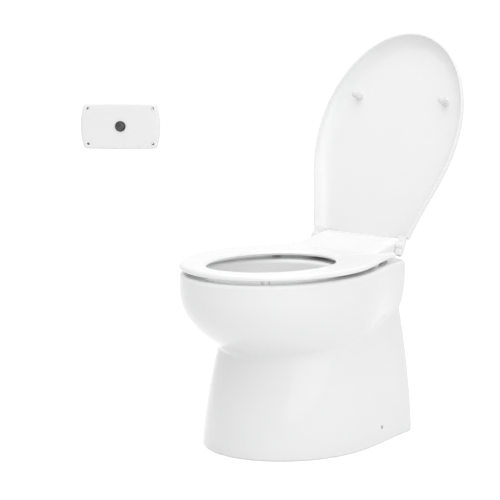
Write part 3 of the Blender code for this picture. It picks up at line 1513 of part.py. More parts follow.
def rinse_nozzle_nut(material):
    y = MOUTH_BACK + BOWL_WALL + CLEARANCE
    mesh = cylinder(
        (0, y, NOZZLE_HEIGHT),
        (0, y + NOZZLE_NUT_THICKNESS, NOZZLE_HEIGHT),
        NOZZLE_NUT_RADIUS,
        count=HEX_SIDES,
    )
    item = add_object("rinse_nozzle_nut", mesh, material)
    bore = cylinder(
        (0, y - CUT_OVERRUN, NOZZLE_HEIGHT),
        (0, y + NOZZLE_NUT_THICKNESS + CUT_OVERRUN, NOZZLE_HEIGHT),
        NOZZLE_RADIUS + CLEARANCE,
        count=FINE_STEPS,
    )
    cut(item, add_object("nozzle_nut_cutter", bore))
    return item


def smooth_route(points, count):
    """Even points along a smooth curve through a route's own points."""
    route = [Vector(point) for point in points]
    padded = [route[0] * 2 - route[1]] + route + [route[-1] * 2 - route[-2]]
    spans = len(route) - 1
    result = []
    for step in range(count):
        place = spans * step / (count - 1)
        span = min(int(place), spans - 1)
        t = place - span
        a, b, c, d = padded[span : span + 4]
        squared = (a * 2 - b * 5 + c * 4 - d) * t**2
        cubed = (b * 3 - a - c * 3 + d) * t**3
        result.append((b * 2 + (c - a) * t + squared + cubed) / 2)
    return result


def rinse_pipe(material):
    """Formed pipe from the valve's outlet tail, up behind the bowl and forward on to the nozzle."""
    tail_end = RINSE_BODY_HALF_WIDTH + RINSE_TAIL_LENGTH + CLEARANCE
    start = Vector((tail_end, RINSE_Y, RINSE_VALVE_HEIGHT))
    end = Vector((0, NOZZLE_TAIL_Y + CLEARANCE, NOZZLE_HEIGHT))
    return_y = mix(end.y, start.y, PIPE_RETURN_BACK_SHARE)
    route = [
        start + Vector((PIPE_LEAD / 3, 0, 0)),
        start + Vector((PIPE_LEAD, 0, 0)),
        start + Vector((PIPE_ELBOW_REACH, 0, PIPE_ELBOW_RISE)),
        Vector((tail_end * PIPE_BEND_SIDE_SHARE, RINSE_Y + PIPE_BEND_BACKSET, end.z - PIPE_BEND_DROP)),
        Vector((tail_end * PIPE_RETURN_SIDE_SHARE, return_y, end.z)),
        end + Vector((0, PIPE_LEAD, 0)),
        end + Vector((0, PIPE_LEAD / 3, 0)),
    ]
    points = [start] + smooth_route(route, PIPE_POINT_COUNT) + [end]
    return wire("rinse_pipe", points, PIPE_RADIUS, material, resolution=2)


def panel_outline(half_width, half_height, side_bow, top_bow, corner):
    """A rounded rectangle whose sides bow outwards, in the panel's own X and Z."""
    flat_x, flat_z = half_width - side_bow, half_height - top_bow
    quarter = []
    for step in range(PANEL_STEPS):
        share = step / PANEL_STEPS
        quarter.append((half_width - side_bow * share**2, (flat_z - corner) * share))
    for step in range(PANEL_STEPS):
        angle = math.pi / 2 * step / PANEL_STEPS
        x = flat_x - corner * (1 - math.cos(angle))
        quarter.append((x, flat_z - corner + corner * math.sin(angle)))
    for step in range(PANEL_STEPS):
        share = 1 - step / PANEL_STEPS
        quarter.append(((flat_x - corner) * share, half_height - top_bow * share**2))
    left = [(-x, z) for x, z in reversed(quarter[1:])]
    top = quarter + [(0, half_height)] + left
    bottom = [(-x, -z) for x, z in top]
    return top + bottom


def panel_ring(width, depth):
    """The panel's outline drawn in by a width, at a depth behind its face (towards +Y)."""
    points = panel_outline(
        PANEL_HALF_WIDTH - width,
        PANEL_HALF_HEIGHT - width,
        PANEL_SIDE_BOW,
        PANEL_TOP_BOW,
        PANEL_CORNER,
    )
    return [Vector((x, depth, z)) for x, z in points]


def at_depth(item, depth):
    """Place a turned piece of the push button so that its local +Z runs back into the panel."""
    face_back(item, (0, depth, 0))


FACE_DEPTH = -GASKET_THICKNESS - CLEARANCE - PANEL_THICKNESS
SKIN_BACK_DEPTH = FACE_DEPTH + PANEL_SKIN


def panel_plate(material, empty):
    """Moulded cover plate: rounded face, hollow behind, four countersunk holes and a button hole."""
    back = FACE_DEPTH + PANEL_THICKNESS
    rings = []
    for degrees in PANEL_EDGE_DEGREES:
        angle = math.radians(degrees)
        width = PANEL_EDGE_ROUNDING * (1 - math.cos(angle))
        rings.append(panel_ring(width, FACE_DEPTH + PANEL_EDGE_ROUNDING * (1 - math.sin(angle))))
    rings.append(panel_ring(0, back))
    item = add_object("panel_plate", loft(rings), material, empty)
    pocket = box(
        (-PANEL_POCKET_HALF_WIDTH, SKIN_BACK_DEPTH, -PANEL_POCKET_HALF_HEIGHT),
        (PANEL_POCKET_HALF_WIDTH, back + CUT_OVERRUN, PANEL_POCKET_HALF_HEIGHT),
    )
    cutters = {"panel_pocket_cutter": pocket}
    cutters["button_hole_cutter"] = cylinder(
        (0, FACE_DEPTH - CUT_OVERRUN, 0),
        (0, back + CUT_OVERRUN, 0),
        BARREL_THREAD_RADIUS + CLEARANCE,
    )
    slope = (PANEL_SINK_RADIUS - PANEL_HOLE_RADIUS) / PANEL_SINK_DEPTH
    through = PANEL_THICKNESS + CUT_OVERRUN
    screw_profile = [
        (0, through),
        (PANEL_HOLE_RADIUS, through),
        (PANEL_HOLE_RADIUS, PANEL_SINK_DEPTH),
        (PANEL_SINK_RADIUS + slope * CUT_OVERRUN, -CUT_OVERRUN),
        (0, -CUT_OVERRUN),
    ]
    for column, x in (("right", -PANEL_HOLE_SPREAD), ("left", PANEL_HOLE_SPREAD)):
        for row, z in (("low", -PANEL_HOLE_RISE), ("high", PANEL_HOLE_RISE)):
            name = f"screw_hole_cutter_{column}_{row}"
            hole = turned(name, screw_profile, None, FINE_STEPS, parent=empty)
            face_back(hole, (x, FACE_DEPTH, z))
            cut(item, hole)
    for name, mesh in cutters.items():
        cutter = add_object(name, mesh)
        cutter.parent = empty
        cut(item, cutter)
    return item


def panel_gasket(material, empty):
    """Thin rubber frame between the plate and the bulkhead."""
    rings = [
        panel_ring(RUNNING_GAP, -GASKET_THICKNESS),
        panel_ring(RUNNING_GAP, 0),
        panel_ring(GASKET_WIDTH, 0),
        panel_ring(GASKET_WIDTH, -GASKET_THICKNESS),
    ]
    return add_object("panel_gasket", loft(rings, looped=True), material, empty)


def button_barrel(material, empty):
    """Threaded barrel through the plate, with the bezel that shows round the button."""
    bezel_back = -CLEARANCE
    bezel_front = bezel_back - BEZEL_THICKNESS
    profile = [
        (BARREL_THREAD_RADIUS, BARREL_BACK_DEPTH),
        (BARREL_THREAD_RADIUS, bezel_back),
        (BEZEL_RADIUS, bezel_back),
        (BEZEL_RADIUS, mix(bezel_back, bezel_front, 0.5)),
        (mix(BEZEL_RADIUS, BARREL_BORE_RADIUS, BEZEL_SLOPE_SHARE), bezel_front),
        (BARREL_BORE_RADIUS, bezel_front),
        (BARREL_BORE_RADIUS, BARREL_BACK_DEPTH),
    ]
    item = turned("button_barrel", profile, material, hollow=True, parent=empty)
    at_depth(item, FACE_DEPTH)
    return item


def push_button(material, empty):
    """Domed cap with a skirt that runs in the barrel and a stem that works the switch."""
    edge = -CLEARANCE - BEZEL_THICKNESS - BUTTON_PROUD
    inside = edge + BUTTON_WALL
    profile = [
        (0, BUTTON_STEM_DEPTH),
        (BUTTON_STEM_RADIUS, BUTTON_STEM_DEPTH),
        (BUTTON_STEM_RADIUS, inside),
        (BUTTON_RADIUS - BUTTON_WALL, inside),
        (BUTTON_RADIUS - BUTTON_WALL, BUTTON_SKIRT_DEPTH),
        (BUTTON_RADIUS, BUTTON_SKIRT_DEPTH),
        (BUTTON_RADIUS, edge),
    ]
    for degrees in BUTTON_DOME_DEGREES:
        angle = math.radians(degrees)
        profile.append((BUTTON_RADIUS * math.cos(angle), edge - BUTTON_DOME * math.sin(angle)))
    profile.append((0, edge - BUTTON_DOME))
    item = turned("push_button", profile, material, parent=empty)
    at_depth(item, FACE_DEPTH)
    return item


def button_nut(material, empty):
    start = SKIN_BACK_DEPTH + CLEARANCE
    end = start + BUTTON_NUT_THICKNESS
    mesh = cylinder((0, start, 0), (0, end, 0), BUTTON_NUT_RADIUS, count=HEX_SIDES)
    item = add_object("button_nut", mesh, material, empty)
    bore = cylinder(
        (0, start - CUT_OVERRUN, 0), (0, end + CUT_OVERRUN, 0), BARREL_THREAD_RADIUS + CLEARANCE
    )
    cutter = add_object("button_nut_cutter", bore)
    cutter.parent = empty
    cut(item, cutter)
    return item


def switch_body(material, empty):
    """Sealed switch behind the barrel, bored for its plunger, with two flat terminals."""
    start = FACE_DEPTH + BARREL_BACK_DEPTH + CLEARANCE
    end = start + SWITCH_LENGTH
    mesh = cylinder((0, start, 0), (0, end, 0), BARREL_THREAD_RADIUS)
    item = add_object("switch_body", mesh, material, empty)
    for side, sign in (("left", 1), ("right", -1)):
        middle = sign * TERMINAL_SPREAD
        tab = box(
            (middle - TERMINAL_THICKNESS / 2, end - TERMINAL_LENGTH / 4, -TERMINAL_HALF_WIDTH),
            (middle + TERMINAL_THICKNESS / 2, end + TERMINAL_LENGTH, TERMINAL_HALF_WIDTH),
        )
        form = add_object(f"terminal_form_{side}", tab)
        form.parent = empty
        join(item, form)
    bore = cylinder(
        (0, start - CUT_OVERRUN, 0),
        (0, start + SWITCH_BORE_DEPTH, 0),
        BUTTON_STEM_RADIUS + CLEARANCE,
        count=FINE_STEPS,
    )
    cutter = add_object("switch_bore_cutter", bore)
    cutter.parent = empty
    cut(item, cutter)
    return item


def switch_plunger(material, empty):
    start = FACE_DEPTH + BUTTON_STEM_DEPTH + CLEARANCE
    end = start + SWITCH_PLUNGER_LENGTH
    mesh = cylinder((0, start, 0), (0, end, 0), BUTTON_STEM_RADIUS, count=FINE_STEPS)
    return add_object("switch_plunger", mesh, material, empty)


def button_spring(material, empty):
    """Return spring round the stem, standing on the switch; the cap's travel is left in front."""
    wire_radius = BUTTON_SPRING_WIRE_RADIUS
    start = BUTTON_SKIRT_DEPTH - BUTTON_TRAVEL + RUNNING_GAP
    end = BARREL_BACK_DEPTH - wire_radius
    item = wire(
        "button_spring",
        helix(BUTTON_SPRING_RADIUS, start, end, BUTTON_SPRING_COIL_COUNT),
        wire_radius,
        material,
        parent=empty,
    )
    at_depth(item, FACE_DEPTH)
    return item


def build():
    glaze = finish("white_glaze", (0.86, 0.865, 0.87), 0.12)
    seat_plastic = finish("seat_plastic", (0.90, 0.90, 0.90), 0.22)
    lid_plastic = finish("lid_plastic", (0.88, 0.88, 0.885), 0.22)
    buffer_rubber = finish("buffer_rubber", (0.82, 0.82, 0.82), 0.55)
    steel = finish("stainless_steel", (0.72, 0.72, 0.73), 0.28, 1.0)
    black_rubber = finish("black_rubber", (0.03, 0.03, 0.03), 0.6)
    pump_plastic = finish("pump_plastic", (0.05, 0.05, 0.055), 0.45)
    motor_paint = finish("motor_paint", (0.06, 0.06, 0.065), 0.38, 0.3)
    nylon = finish("white_nylon", (0.80, 0.80, 0.78), 0.4)
    brass = finish("brass", (0.70, 0.55, 0.26), 0.35, 1.0)
    panel_plastic = finish("panel_plastic", (0.90, 0.90, 0.905), 0.28)
    button_gloss = finish("button_gloss", (0.01, 0.01, 0.01), 0.08)

    ceramic_pedestal(glaze)
    ceramic_basin(glaze)
    for side, sign in (("left", 1), ("right", -1)):
        hinge_post(side, sign, nylon)
        hinge_pin(side, sign, steel)
        hinge_washer(side, sign, black_rubber)
        hinge_nut(side, sign, nylon)
    seat_axis = axis_empty("seat_axis", (0, 0, HINGE_HEIGHT))
    seat(seat_plastic, seat_axis)
    seat_heel(seat_plastic, seat_axis)
    seat_buffers(buffer_rubber, seat_axis)
    lid_turn = (-math.radians(LID_OPEN_DEGREES), 0, 0)
    lid_axis = axis_empty("lid_axis", (0, 0, HINGE_HEIGHT), lid_turn)
    lid(lid_plastic, lid_axis)
    for side, sign in (("left", 1), ("right", -1)):
        lid_arm(side, sign, lid_plastic, lid_axis)
    lid_buffers(buffer_rubber, lid_axis)

    macerator_housing(pump_plastic)
    bowl_outlet_seal(black_rubber)
    outlet_clamp(steel)
    seal_plate(pump_plastic)
    shaft_seal(black_rubber)
    motor_body(motor_paint)
    motor_end_cap(pump_plastic)
    pump_shaft(steel)
    pump_impeller(nylon)
    macerator_blade(steel)
    pump_base(pump_plastic)
    joker_valve(black_rubber)
    discharge_tail(pump_plastic)

    rinse_valve_body(brass)
    rinse_valve_coil(pump_plastic)
    rinse_valve_plunger(steel)
    rinse_valve_spring(steel)
    rinse_nozzle(nylon)
    rinse_nozzle_nut(nylon)
    rinse_pipe(nylon)

    panel_turn = (0, 0, math.radians(PANEL_TURN_DEGREES))
    panel_axis = axis_empty("panel_axis", (PANEL_X, PANEL_Y, PANEL_HEIGHT), panel_turn)
    panel_plate(panel_plastic, panel_axis)
    panel_gasket(black_rubber, panel_axis)
    button_barrel(button_gloss, panel_axis)
    push_button(button_gloss, panel_axis)
    button_nut(steel, panel_axis)
    switch_body(pump_plastic, panel_axis)
    switch_plunger(nylon, panel_axis)
    button_spring(steel, panel_axis)


build()
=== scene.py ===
# %% [markdown]
# # An electric marine toilet
#
# The toilet is one ceramic casting with a plastic seat and lid, and a control panel with one push
# button comes with it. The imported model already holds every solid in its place. This lesson dresses
# those solids: it models the large smooth forms again with fine meshes, and gives each surface a
# material that is worked out by nodes.

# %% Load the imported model
import json
import math
from collections import namedtuple

import bmesh
import bpy
from mathutils import Matrix, Vector


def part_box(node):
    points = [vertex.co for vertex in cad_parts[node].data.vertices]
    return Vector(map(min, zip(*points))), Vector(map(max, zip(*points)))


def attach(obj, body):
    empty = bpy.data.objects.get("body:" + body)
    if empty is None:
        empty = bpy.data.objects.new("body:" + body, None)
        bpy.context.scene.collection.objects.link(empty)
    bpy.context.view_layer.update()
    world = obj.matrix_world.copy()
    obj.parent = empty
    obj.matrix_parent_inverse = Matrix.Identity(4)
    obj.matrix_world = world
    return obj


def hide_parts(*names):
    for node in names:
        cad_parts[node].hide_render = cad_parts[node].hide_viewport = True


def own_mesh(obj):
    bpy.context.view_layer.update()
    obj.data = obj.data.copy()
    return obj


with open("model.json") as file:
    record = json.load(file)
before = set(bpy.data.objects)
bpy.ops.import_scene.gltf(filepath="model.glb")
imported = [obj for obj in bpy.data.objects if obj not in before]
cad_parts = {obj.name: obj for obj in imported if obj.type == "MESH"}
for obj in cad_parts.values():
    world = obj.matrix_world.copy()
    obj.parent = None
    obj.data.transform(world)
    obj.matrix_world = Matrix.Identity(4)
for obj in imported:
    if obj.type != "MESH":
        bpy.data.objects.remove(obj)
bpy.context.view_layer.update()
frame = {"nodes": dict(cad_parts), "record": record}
nodes = frame["nodes"]
print("pieces in the model:", len(nodes))

# %% [markdown]
# ## The camera
#
# A product picture is taken from far away with a long lens, so that upright lines stay upright. The
# camera stands on a circle round the toilet, 42 degrees to its left and 9 degrees above its middle.

# %% Camera
CAMERA_TURN = math.radians(42.0)
CAMERA_RISE = math.radians(9.0)
CAMERA_DISTANCE = 4.0
CAMERA_LENS = 145.9
LOOK_ACROSS = -0.0887
LOOK_AT_DEPTH = -0.200
LOOK_AT_HEIGHT = 0.3810

across = Vector((math.cos(CAMERA_TURN), math.sin(CAMERA_TURN), 0.0))
towards_camera = Vector(
    (
        math.sin(CAMERA_TURN) * math.cos(CAMERA_RISE),
        -math.cos(CAMERA_TURN) * math.cos(CAMERA_RISE),
        math.sin(CAMERA_RISE),
    )
)
look_at = Vector((0.0, LOOK_AT_DEPTH, LOOK_AT_HEIGHT)) + across * LOOK_ACROSS
camera = bpy.data.objects.new("camera", bpy.data.cameras.new("camera"))
bpy.context.scene.collection.objects.link(camera)
camera.data.lens = CAMERA_LENS
camera.location = look_at + towards_camera * CAMERA_DISTANCE
camera.rotation_euler = towards_camera.to_track_quat("Z", "Y").to_euler()
bpy.context.scene.camera = camera
print("camera stands at", tuple(round(value, 3) for value in camera.location))

# %% [markdown]
# ## Shader maths as plain expressions
#
# A material is a small calculation that runs at every point of a surface. Written node by node it is
# long, so this class wraps one output of a node and lets + and * do the wiring. The function `node`
# adds any other kind of node.


# %% A socket that does arithmetic
class Value:
    """One output socket in a node tree, which adds Math nodes when it is used in an expression."""

    def __init__(self, tree, socket):
        self.tree = tree
        self.socket = socket

    def maths(self, operation, first, second):
        return node(self.tree, "ShaderNodeMath", {"operation": operation}, {0: first, 1: second})

    def __add__(self, other):
        return self.maths("ADD", self, other)

    __radd__ = __add__

    def __mul__(self, other):
        return self.maths("MULTIPLY", self, other)

    __rmul__ = __mul__

    def out(self, name):
        """Another output of the same node."""
        return Value(self.tree, self.socket.node.outputs[name])


def node(tree, kind, settings=None, inputs=None):
    """Add a node, set it up, fill or link its sockets, and hand back its first output."""
    made = tree.nodes.new(kind)
    for name, value in (settings or {}).items():
        setattr(made, name, value)
    for name, value in (inputs or {}).items():
        if isinstance(value, Value):
            tree.links.new(value.socket, made.inputs[name])
        else:
            made.inputs[name].default_value = value
    return Value(tree, made.outputs[0])


# %% [markdown]
# ## Patterns that the finishes share
#
# Every pattern here is laid out in object space, in metres, so that it stays put when a piece moves
# and keeps its true scale. A picture wrapped round the piece would show seams and need unwrapping.
# Noise gives slow changes, and a narrow window cuts it down to specks.


# %% Shared patterns
def place(tree, stretch=(1.0, 1.0, 1.0)):
    """Object coordinates, stretched along an axis where a finish has a grain."""
    coordinates = node(tree, "ShaderNodeTexCoord").out("Object")
    return node(tree, "ShaderNodeMapping", None, {"Vector": coordinates, "Scale": stretch})


def noise(tree, size, detail=3.0, stretch=(1.0, 1.0, 1.0)):
    """Noise whose blobs are about `size` metres across, from 0 to 1."""
    inputs = {"Vector": place(tree, stretch), "Scale": 1.0 / size, "Detail": detail}
    return node(tree, "ShaderNodeTexNoise", {"noise_dimensions": "3D"}, inputs)


def window(value, low, high):
    """0 below low and 1 above high, with an even slope between them."""
    inputs = {"Value": value, "From Min": low, "From Max": high}
    return node(value.tree, "ShaderNodeMapRange", {"clamp": True}, inputs)


def mixed(tree, amount, first, second):
    """A colour between two colours."""
    made = node(tree, "ShaderNodeMix", {"data_type": "RGBA", "clamp_factor": True}).socket.node
    colours = [socket for socket in made.inputs if socket.type == "RGBA"]
    for socket, colour in zip(colours, (first, second)):
        if isinstance(colour, Value):
            tree.links.new(colour.socket, socket)
        else:
            socket.default_value = (*colour, 1.0)
    tree.links.new(amount.socket, made.inputs["Factor"])
    result = [socket for socket in made.outputs if socket.type == "RGBA"]
    return Value(tree, result[0])


def bump(height, depth):
    """A bump normal from a height of 0 to 1 that stands for `depth` metres."""
    return node(height.tree, "ShaderNodeBump", None, {"Height": height, "Distance": depth})


def finish(name, build, **fixed):
    """A material whose fixed values sit on the shader's sockets and whose varying ones come from
    `build`, which takes the node tree and returns them by socket name."""
    material = bpy.data.materials.new(name)
    material.use_nodes = True
    tree = material.node_tree
    shader = tree.nodes["Principled BSDF"]
    for socket, value in fixed.items():
        shader.inputs[socket.replace("_", " ")].default_value = value
    for socket, value in build(tree).items():
        tree.links.new(value.socket, shader.inputs[socket])
    print(name, "has", len(tree.nodes), "nodes")
    return material


# %% [markdown]
# ## Glazed china
#
# Vitreous china is off-white clay under a clear coat of glass. The glass is never quite flat: it
# pulls into slow waves a few centimetres long, and it holds a few pin-head specks. One even white
# would look like plastic, so slow noise drives the waves and a very small change of colour, and a
# thin coat sits on top.


# %% Glaze
def glaze_pattern(tree):
    cloud = noise(tree, 0.16, 2.0)
    speck = window(noise(tree, 0.0022, 1.0), 0.800, 0.830)
    white = mixed(tree, cloud, (0.888, 0.889, 0.892), (0.902, 0.903, 0.904))
    waves = noise(tree, 0.045, 2.0) * 0.75 + noise(tree, 0.0016, 2.0) * 0.02
    return {
        "Base Color": mixed(tree, speck * 0.30, white, (0.55, 0.51, 0.45)),
        "Roughness": window(noise(tree, 0.03, 3.0), 0.2, 0.8) * 0.05 + 0.10,
        "Normal": bump(waves, 0.0004),
    }


glaze = finish("glazed_china", glaze_pattern, IOR=1.46, Coat_Weight=0.12, Coat_Roughness=0.03)


# %% [markdown]
# ## Moulded white plastics
#
# The seat, the lid and the panel are moulded. A polished mould leaves a gloss with a faint ripple
# called orange peel, and an etched one leaves a fine even grain. Both are bumps far smaller than a
# millimetre, so they change how light spreads and hardly show as shapes.


# %% Plastics
def moulded(low, high, ripple, depth, dull):
    """A pattern maker for moulded plastic: two close colours, a ripple, and an uneven gloss."""

    def pattern(tree):
        tone = noise(tree, 0.11, 2.0)
        peel = noise(tree, ripple, 2.0)
        rub = window(noise(tree, 0.05, 4.0), 0.35, 0.75)
        return {
            "Base Color": mixed(tree, tone, low, high),
            "Roughness": rub * 0.03 + dull,
            "Normal": bump(peel, depth),
        }

    return pattern


seat_plastic = finish(
    "seat_moulding",
    moulded((0.905, 0.906, 0.908), (0.925, 0.925, 0.926), ripple=0.004, depth=0.00001, dull=0.12),
    IOR=1.49,
    Coat_Weight=0.25,
)
lid_plastic = finish(
    "lid_moulding",
    moulded((0.895, 0.896, 0.898), (0.913, 0.913, 0.915), ripple=0.012, depth=0.00001, dull=0.15),
    IOR=1.49,
)
panel_plastic = finish(
    "panel_moulding",
    moulded((0.900, 0.898, 0.900), (0.920, 0.917, 0.919), ripple=0.0007, depth=0.00003, dull=0.30),
    IOR=1.49,
)
nylon = finish(
    "white_nylon",
    moulded((0.78, 0.78, 0.76), (0.84, 0.84, 0.83), ripple=0.0012, depth=0.00004, dull=0.36),
    IOR=1.52,
)
black_plastic = finish(
    "black_moulding",
    moulded((0.020, 0.020, 0.022), (0.034, 0.034, 0.037), ripple=0.0010, depth=0.00006, dull=0.40),
)
button_gloss = finish(
    "button_gloss",
    moulded((0.004, 0.004, 0.004), (0.007, 0.007, 0.007), ripple=0.006, depth=0.00001, dull=0.03),
    IOR=1.50,
    Coat_Weight=1.0,
    Coat_Roughness=0.02,
)


# %% [markdown]
# ## Rubber
#
# Rubber is dull, and dust and talc settle in its grain. The grain is a fine noise, and a second,
# larger noise lightens it in patches.


# %% Rubbers
def rubbery(low, high):
    """A pattern maker for rubber: grain with paler bloom in patches."""

    def pattern(tree):
        bloom = window(noise(tree, 0.02, 4.0), 0.45, 0.75)
        return {
            "Base Color": mixed(tree, bloom, low, high),
            "Roughness": bloom * 0.15 + 0.60,
            "Normal": bump(noise(tree, 0.0006, 3.0), 0.00008),
        }

    return pattern


black_rubber = finish("black_rubber", rubbery((0.018, 0.018, 0.018), (0.042, 0.041, 0.040)))
buffer_rubber = finish("buffer_rubber", rubbery((0.80, 0.80, 0.80), (0.86, 0.86, 0.86)))


# %% [markdown]
# ## Metals
#
# Brushed steel is a noise stretched hard along one axis: the same noise feeds roughness and bump, so
# each scratch both catches light and breaks it. Cast brass is coarser and has no direction.


# %% Metals
def brushed(low, high, stretch):
    """A pattern maker for turned or brushed metal, whose scratches run along the short stretch."""

    def pattern(tree):
        scratch = noise(tree, 0.002, 3.0, stretch)
        return {
            "Base Color": mixed(tree, scratch, low, high),
            "Roughness": scratch * 0.18 + 0.20,
            "Normal": bump(scratch, 0.00003),
        }

    return pattern


def cast(low, high):
    """A pattern maker for cast metal: coarse grain and a dull skin in the hollows."""

    def pattern(tree):
        skin = window(noise(tree, 0.006, 4.0), 0.35, 0.70)
        return {
            "Base Color": mixed(tree, skin, low, high),
            "Roughness": skin * 0.12 + 0.30,
            "Normal": bump(noise(tree, 0.0012, 3.0), 0.00012),
        }

    return pattern


ALONG_SHAFT = (1.0, 0.06, 1.0)
steel = finish(
    "stainless_steel", brushed((0.60, 0.60, 0.61), (0.78, 0.78, 0.79), ALONG_SHAFT), Metallic=1.0
)
brass = finish("valve_brass", cast((0.58, 0.42, 0.18), (0.76, 0.60, 0.30)), Metallic=1.0)
motor_paint = finish(
    "motor_paint", cast((0.030, 0.030, 0.033), (0.048, 0.048, 0.052)), Coat_Weight=0.3
)

# %% [markdown]
# ## Give every piece of the model its finish
#
# Each solid already has a slot that says what it is made of. Pieces that keep their modelled shape
# only swap that slot's plain colour for the finish above.

# %% Repaint the model's own pieces
FINISHES = {
    "white_glaze": glaze,
    "seat_plastic": seat_plastic,
    "lid_plastic": lid_plastic,
    "panel_plastic": panel_plastic,
    "white_nylon": nylon,
    "pump_plastic": black_plastic,
    "button_gloss": button_gloss,
    "black_rubber": black_rubber,
    "buffer_rubber": buffer_rubber,
    "stainless_steel": steel,
    "brass": brass,
    "motor_paint": motor_paint,
}
slot_of = {part["node"]: part["material_slot"] for part in frame["record"]["subparts"]}
for name, piece in nodes.items():
    for index in range(len(piece.material_slots)):
        piece.material_slots[index].material = FINISHES[slot_of[name]]
    if not piece.material_slots:
        piece.data.materials.append(FINISHES[slot_of[name]])
print("pieces with a finish:", len(slot_of))


# %% [markdown]
# ## Tools for large smooth forms
#
# A ceramic casting has no flat faces to start from. Its outside is a stack of plan outlines: rounded
# at the front, drawn in at the back, and a little different at each height. Laying an edge ring on
# each outline and bridging ring to ring turns the stack into a skin. The outlines are half drawn, as
# a quarter ellipse, an eased side and a rounded corner, and then mirrored.

# %% Plan outlines
Outline = namedtuple("Outline", "half_width front widest back heel corner")
Oval = namedtuple("Oval", "half_width front back")
FRONT_STEPS = 36
SIDE_STEPS = 26
CORNER_STEPS = 8
BACK_STEPS = 10
SIDE_EASE_SHARE = 0.39
HEEL_SWELL_SHARE = 0.28


def mix(low, high, share):
    return low + (high - low) * share


def mix_all(low, high, share):
    return type(low)(*(mix(a, b, share) for a, b in zip(low, high)))


def half_outline(outline):
    """Points of half an outline, front to back."""
    points = []
    for step in range(FRONT_STEPS):
        angle = math.pi / 2 * step / FRONT_STEPS
        reach = (outline.widest - outline.front) * math.cos(angle)
        points.append((outline.half_width * math.sin(angle), outline.widest - reach))
    corner_y = outline.back - outline.corner
    reach = (corner_y - outline.widest) * SIDE_EASE_SHARE
    swell = HEEL_SWELL_SHARE * (outline.half_width - outline.heel)
    control = (
        Vector((outline.half_width, outline.widest)),
        Vector((outline.half_width, outline.widest + reach)),
        Vector((outline.heel + swell, corner_y - reach)),
        Vector((outline.heel, corner_y)),
    )
    for step in range(SIDE_STEPS):
        share = step / SIDE_STEPS
        rest = 1 - share
        weights = (rest**3, 3 * rest**2 * share, 3 * rest * share**2, share**3)
        points.append(tuple(sum((p * w for p, w in zip(control, weights)), Vector((0, 0)))))
    for step in range(CORNER_STEPS):
        angle = math.pi / 2 * step / CORNER_STEPS
        x = outline.heel - outline.corner * (1 - math.cos(angle))
        points.append((x, corner_y + outline.corner * math.sin(angle)))
    for step in range(BACK_STEPS + 1):
        points.append(((outline.heel - outline.corner) * (1 - step / BACK_STEPS), outline.back))
    return points


def half_oval(oval):
    """Points of half an oval, as many as half an outline has."""
    middle = (oval.front + oval.back) / 2
    reach = (oval.back - oval.front) / 2
    rear_steps = SIDE_STEPS + CORNER_STEPS + BACK_STEPS
    angles = [math.pi / 2 * step / FRONT_STEPS for step in range(FRONT_STEPS)]
    angles += [math.pi / 2 * (1 + step / rear_steps) for step in range(rear_steps + 1)]
    return [(oval.half_width * math.sin(a), middle - reach * math.cos(a)) for a in angles]


def ring(shape, front_height, back_height=None):
    """The whole outline in space, whose height may change evenly from front to back."""
    half = half_oval(shape) if isinstance(shape, Oval) else half_outline(shape)
    back_height = front_height if back_height is None else back_height
    length = shape.back - shape.front
    whole = half + [(-x, y) for x, y in reversed(half[1:-1])]
    return [
        Vector((x, y, mix(front_height, back_height, (y - shape.front) / length)))
        for x, y in whole
    ]


def shrink(outline, width):
    return Outline(
        outline.half_width - width,
        outline.front + width,
        outline.widest,
        outline.back - width,
        outline.heel - width,
        outline.corner,
    )


def grow(oval, width):
    return Oval(oval.half_width + width, oval.front - width, oval.back + width)


# %% [markdown]
# `create_circle` makes the first ring of vertices and the outline places them. After that the last
# row of edges is extruded and its new vertices are moved to the next ring, so that each vertex keeps
# its own partner from ring to ring. `bridge_loops` would choose the partners itself, and on a wide
# flat stretch, such as the deck between rim and bowl, it can choose them a few steps askew.


# %% Skins from rings
def row_edges(shape, row):
    return [shape.edges.get((row[index - 1], row[index])) for index in range(len(row))]


def moved(row, places):
    for vert, point in zip(row, places):
        vert.co = point
    return row


def bridged(rings, looped=False, capped=True):
    """A bmesh skin through the rings, closed in a loop, capped at both ends, or open."""
    shape = bmesh.new()
    made = bmesh.ops.create_circle(shape, segments=len(rings[0]), radius=1.0)
    first = row = moved(made["verts"], rings[0])
    for places in rings[1:] + (rings[:1] if looped else []):
        made = bmesh.ops.extrude_edge_only(shape, edges=row_edges(shape, row))
        fresh = {item for item in made["geom"] if isinstance(item, bmesh.types.BMVert)}
        ends = [[edge.other_vert(vert) for edge in vert.link_edges] for vert in row]
        row = moved([next(end for end in some if end in fresh) for some in ends], places)
    if looped:
        bmesh.ops.remove_doubles(shape, verts=first + row, dist=1e-7)
    elif capped:
        for end in (first, row):
            bmesh.ops.contextual_create(shape, geom=row_edges(shape, end))
    bmesh.ops.recalc_face_normals(shape, faces=shape.faces)
    return shape


def shifted(shape, place):
    bmesh.ops.transform(shape, matrix=place, verts=shape.verts)
    return shape


def smooth_up_to(mesh, degrees):
    """Shade a mesh smooth, apart from edges that are sharper than an angle."""
    mesh.shade_smooth()
    mesh.set_sharp_from_angle(angle=math.radians(degrees))


def keep_piece(name, shape, material, body, stands_for, smooth_degrees=40.0):
    """Turn a bmesh into a finished piece that rides on a body and stands for the model's nodes."""
    mesh = bpy.data.meshes.new(name)
    shape.to_mesh(mesh)
    shape.free()
    mesh.materials.append(material)
    smooth_up_to(mesh, smooth_degrees)
    piece = bpy.data.objects.new(name, mesh)
    bpy.context.scene.collection.objects.link(piece)
    if stands_for:
        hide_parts(*stands_for)
    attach(piece, body)
    print(name, "has", len(mesh.polygons), "faces")
    return piece


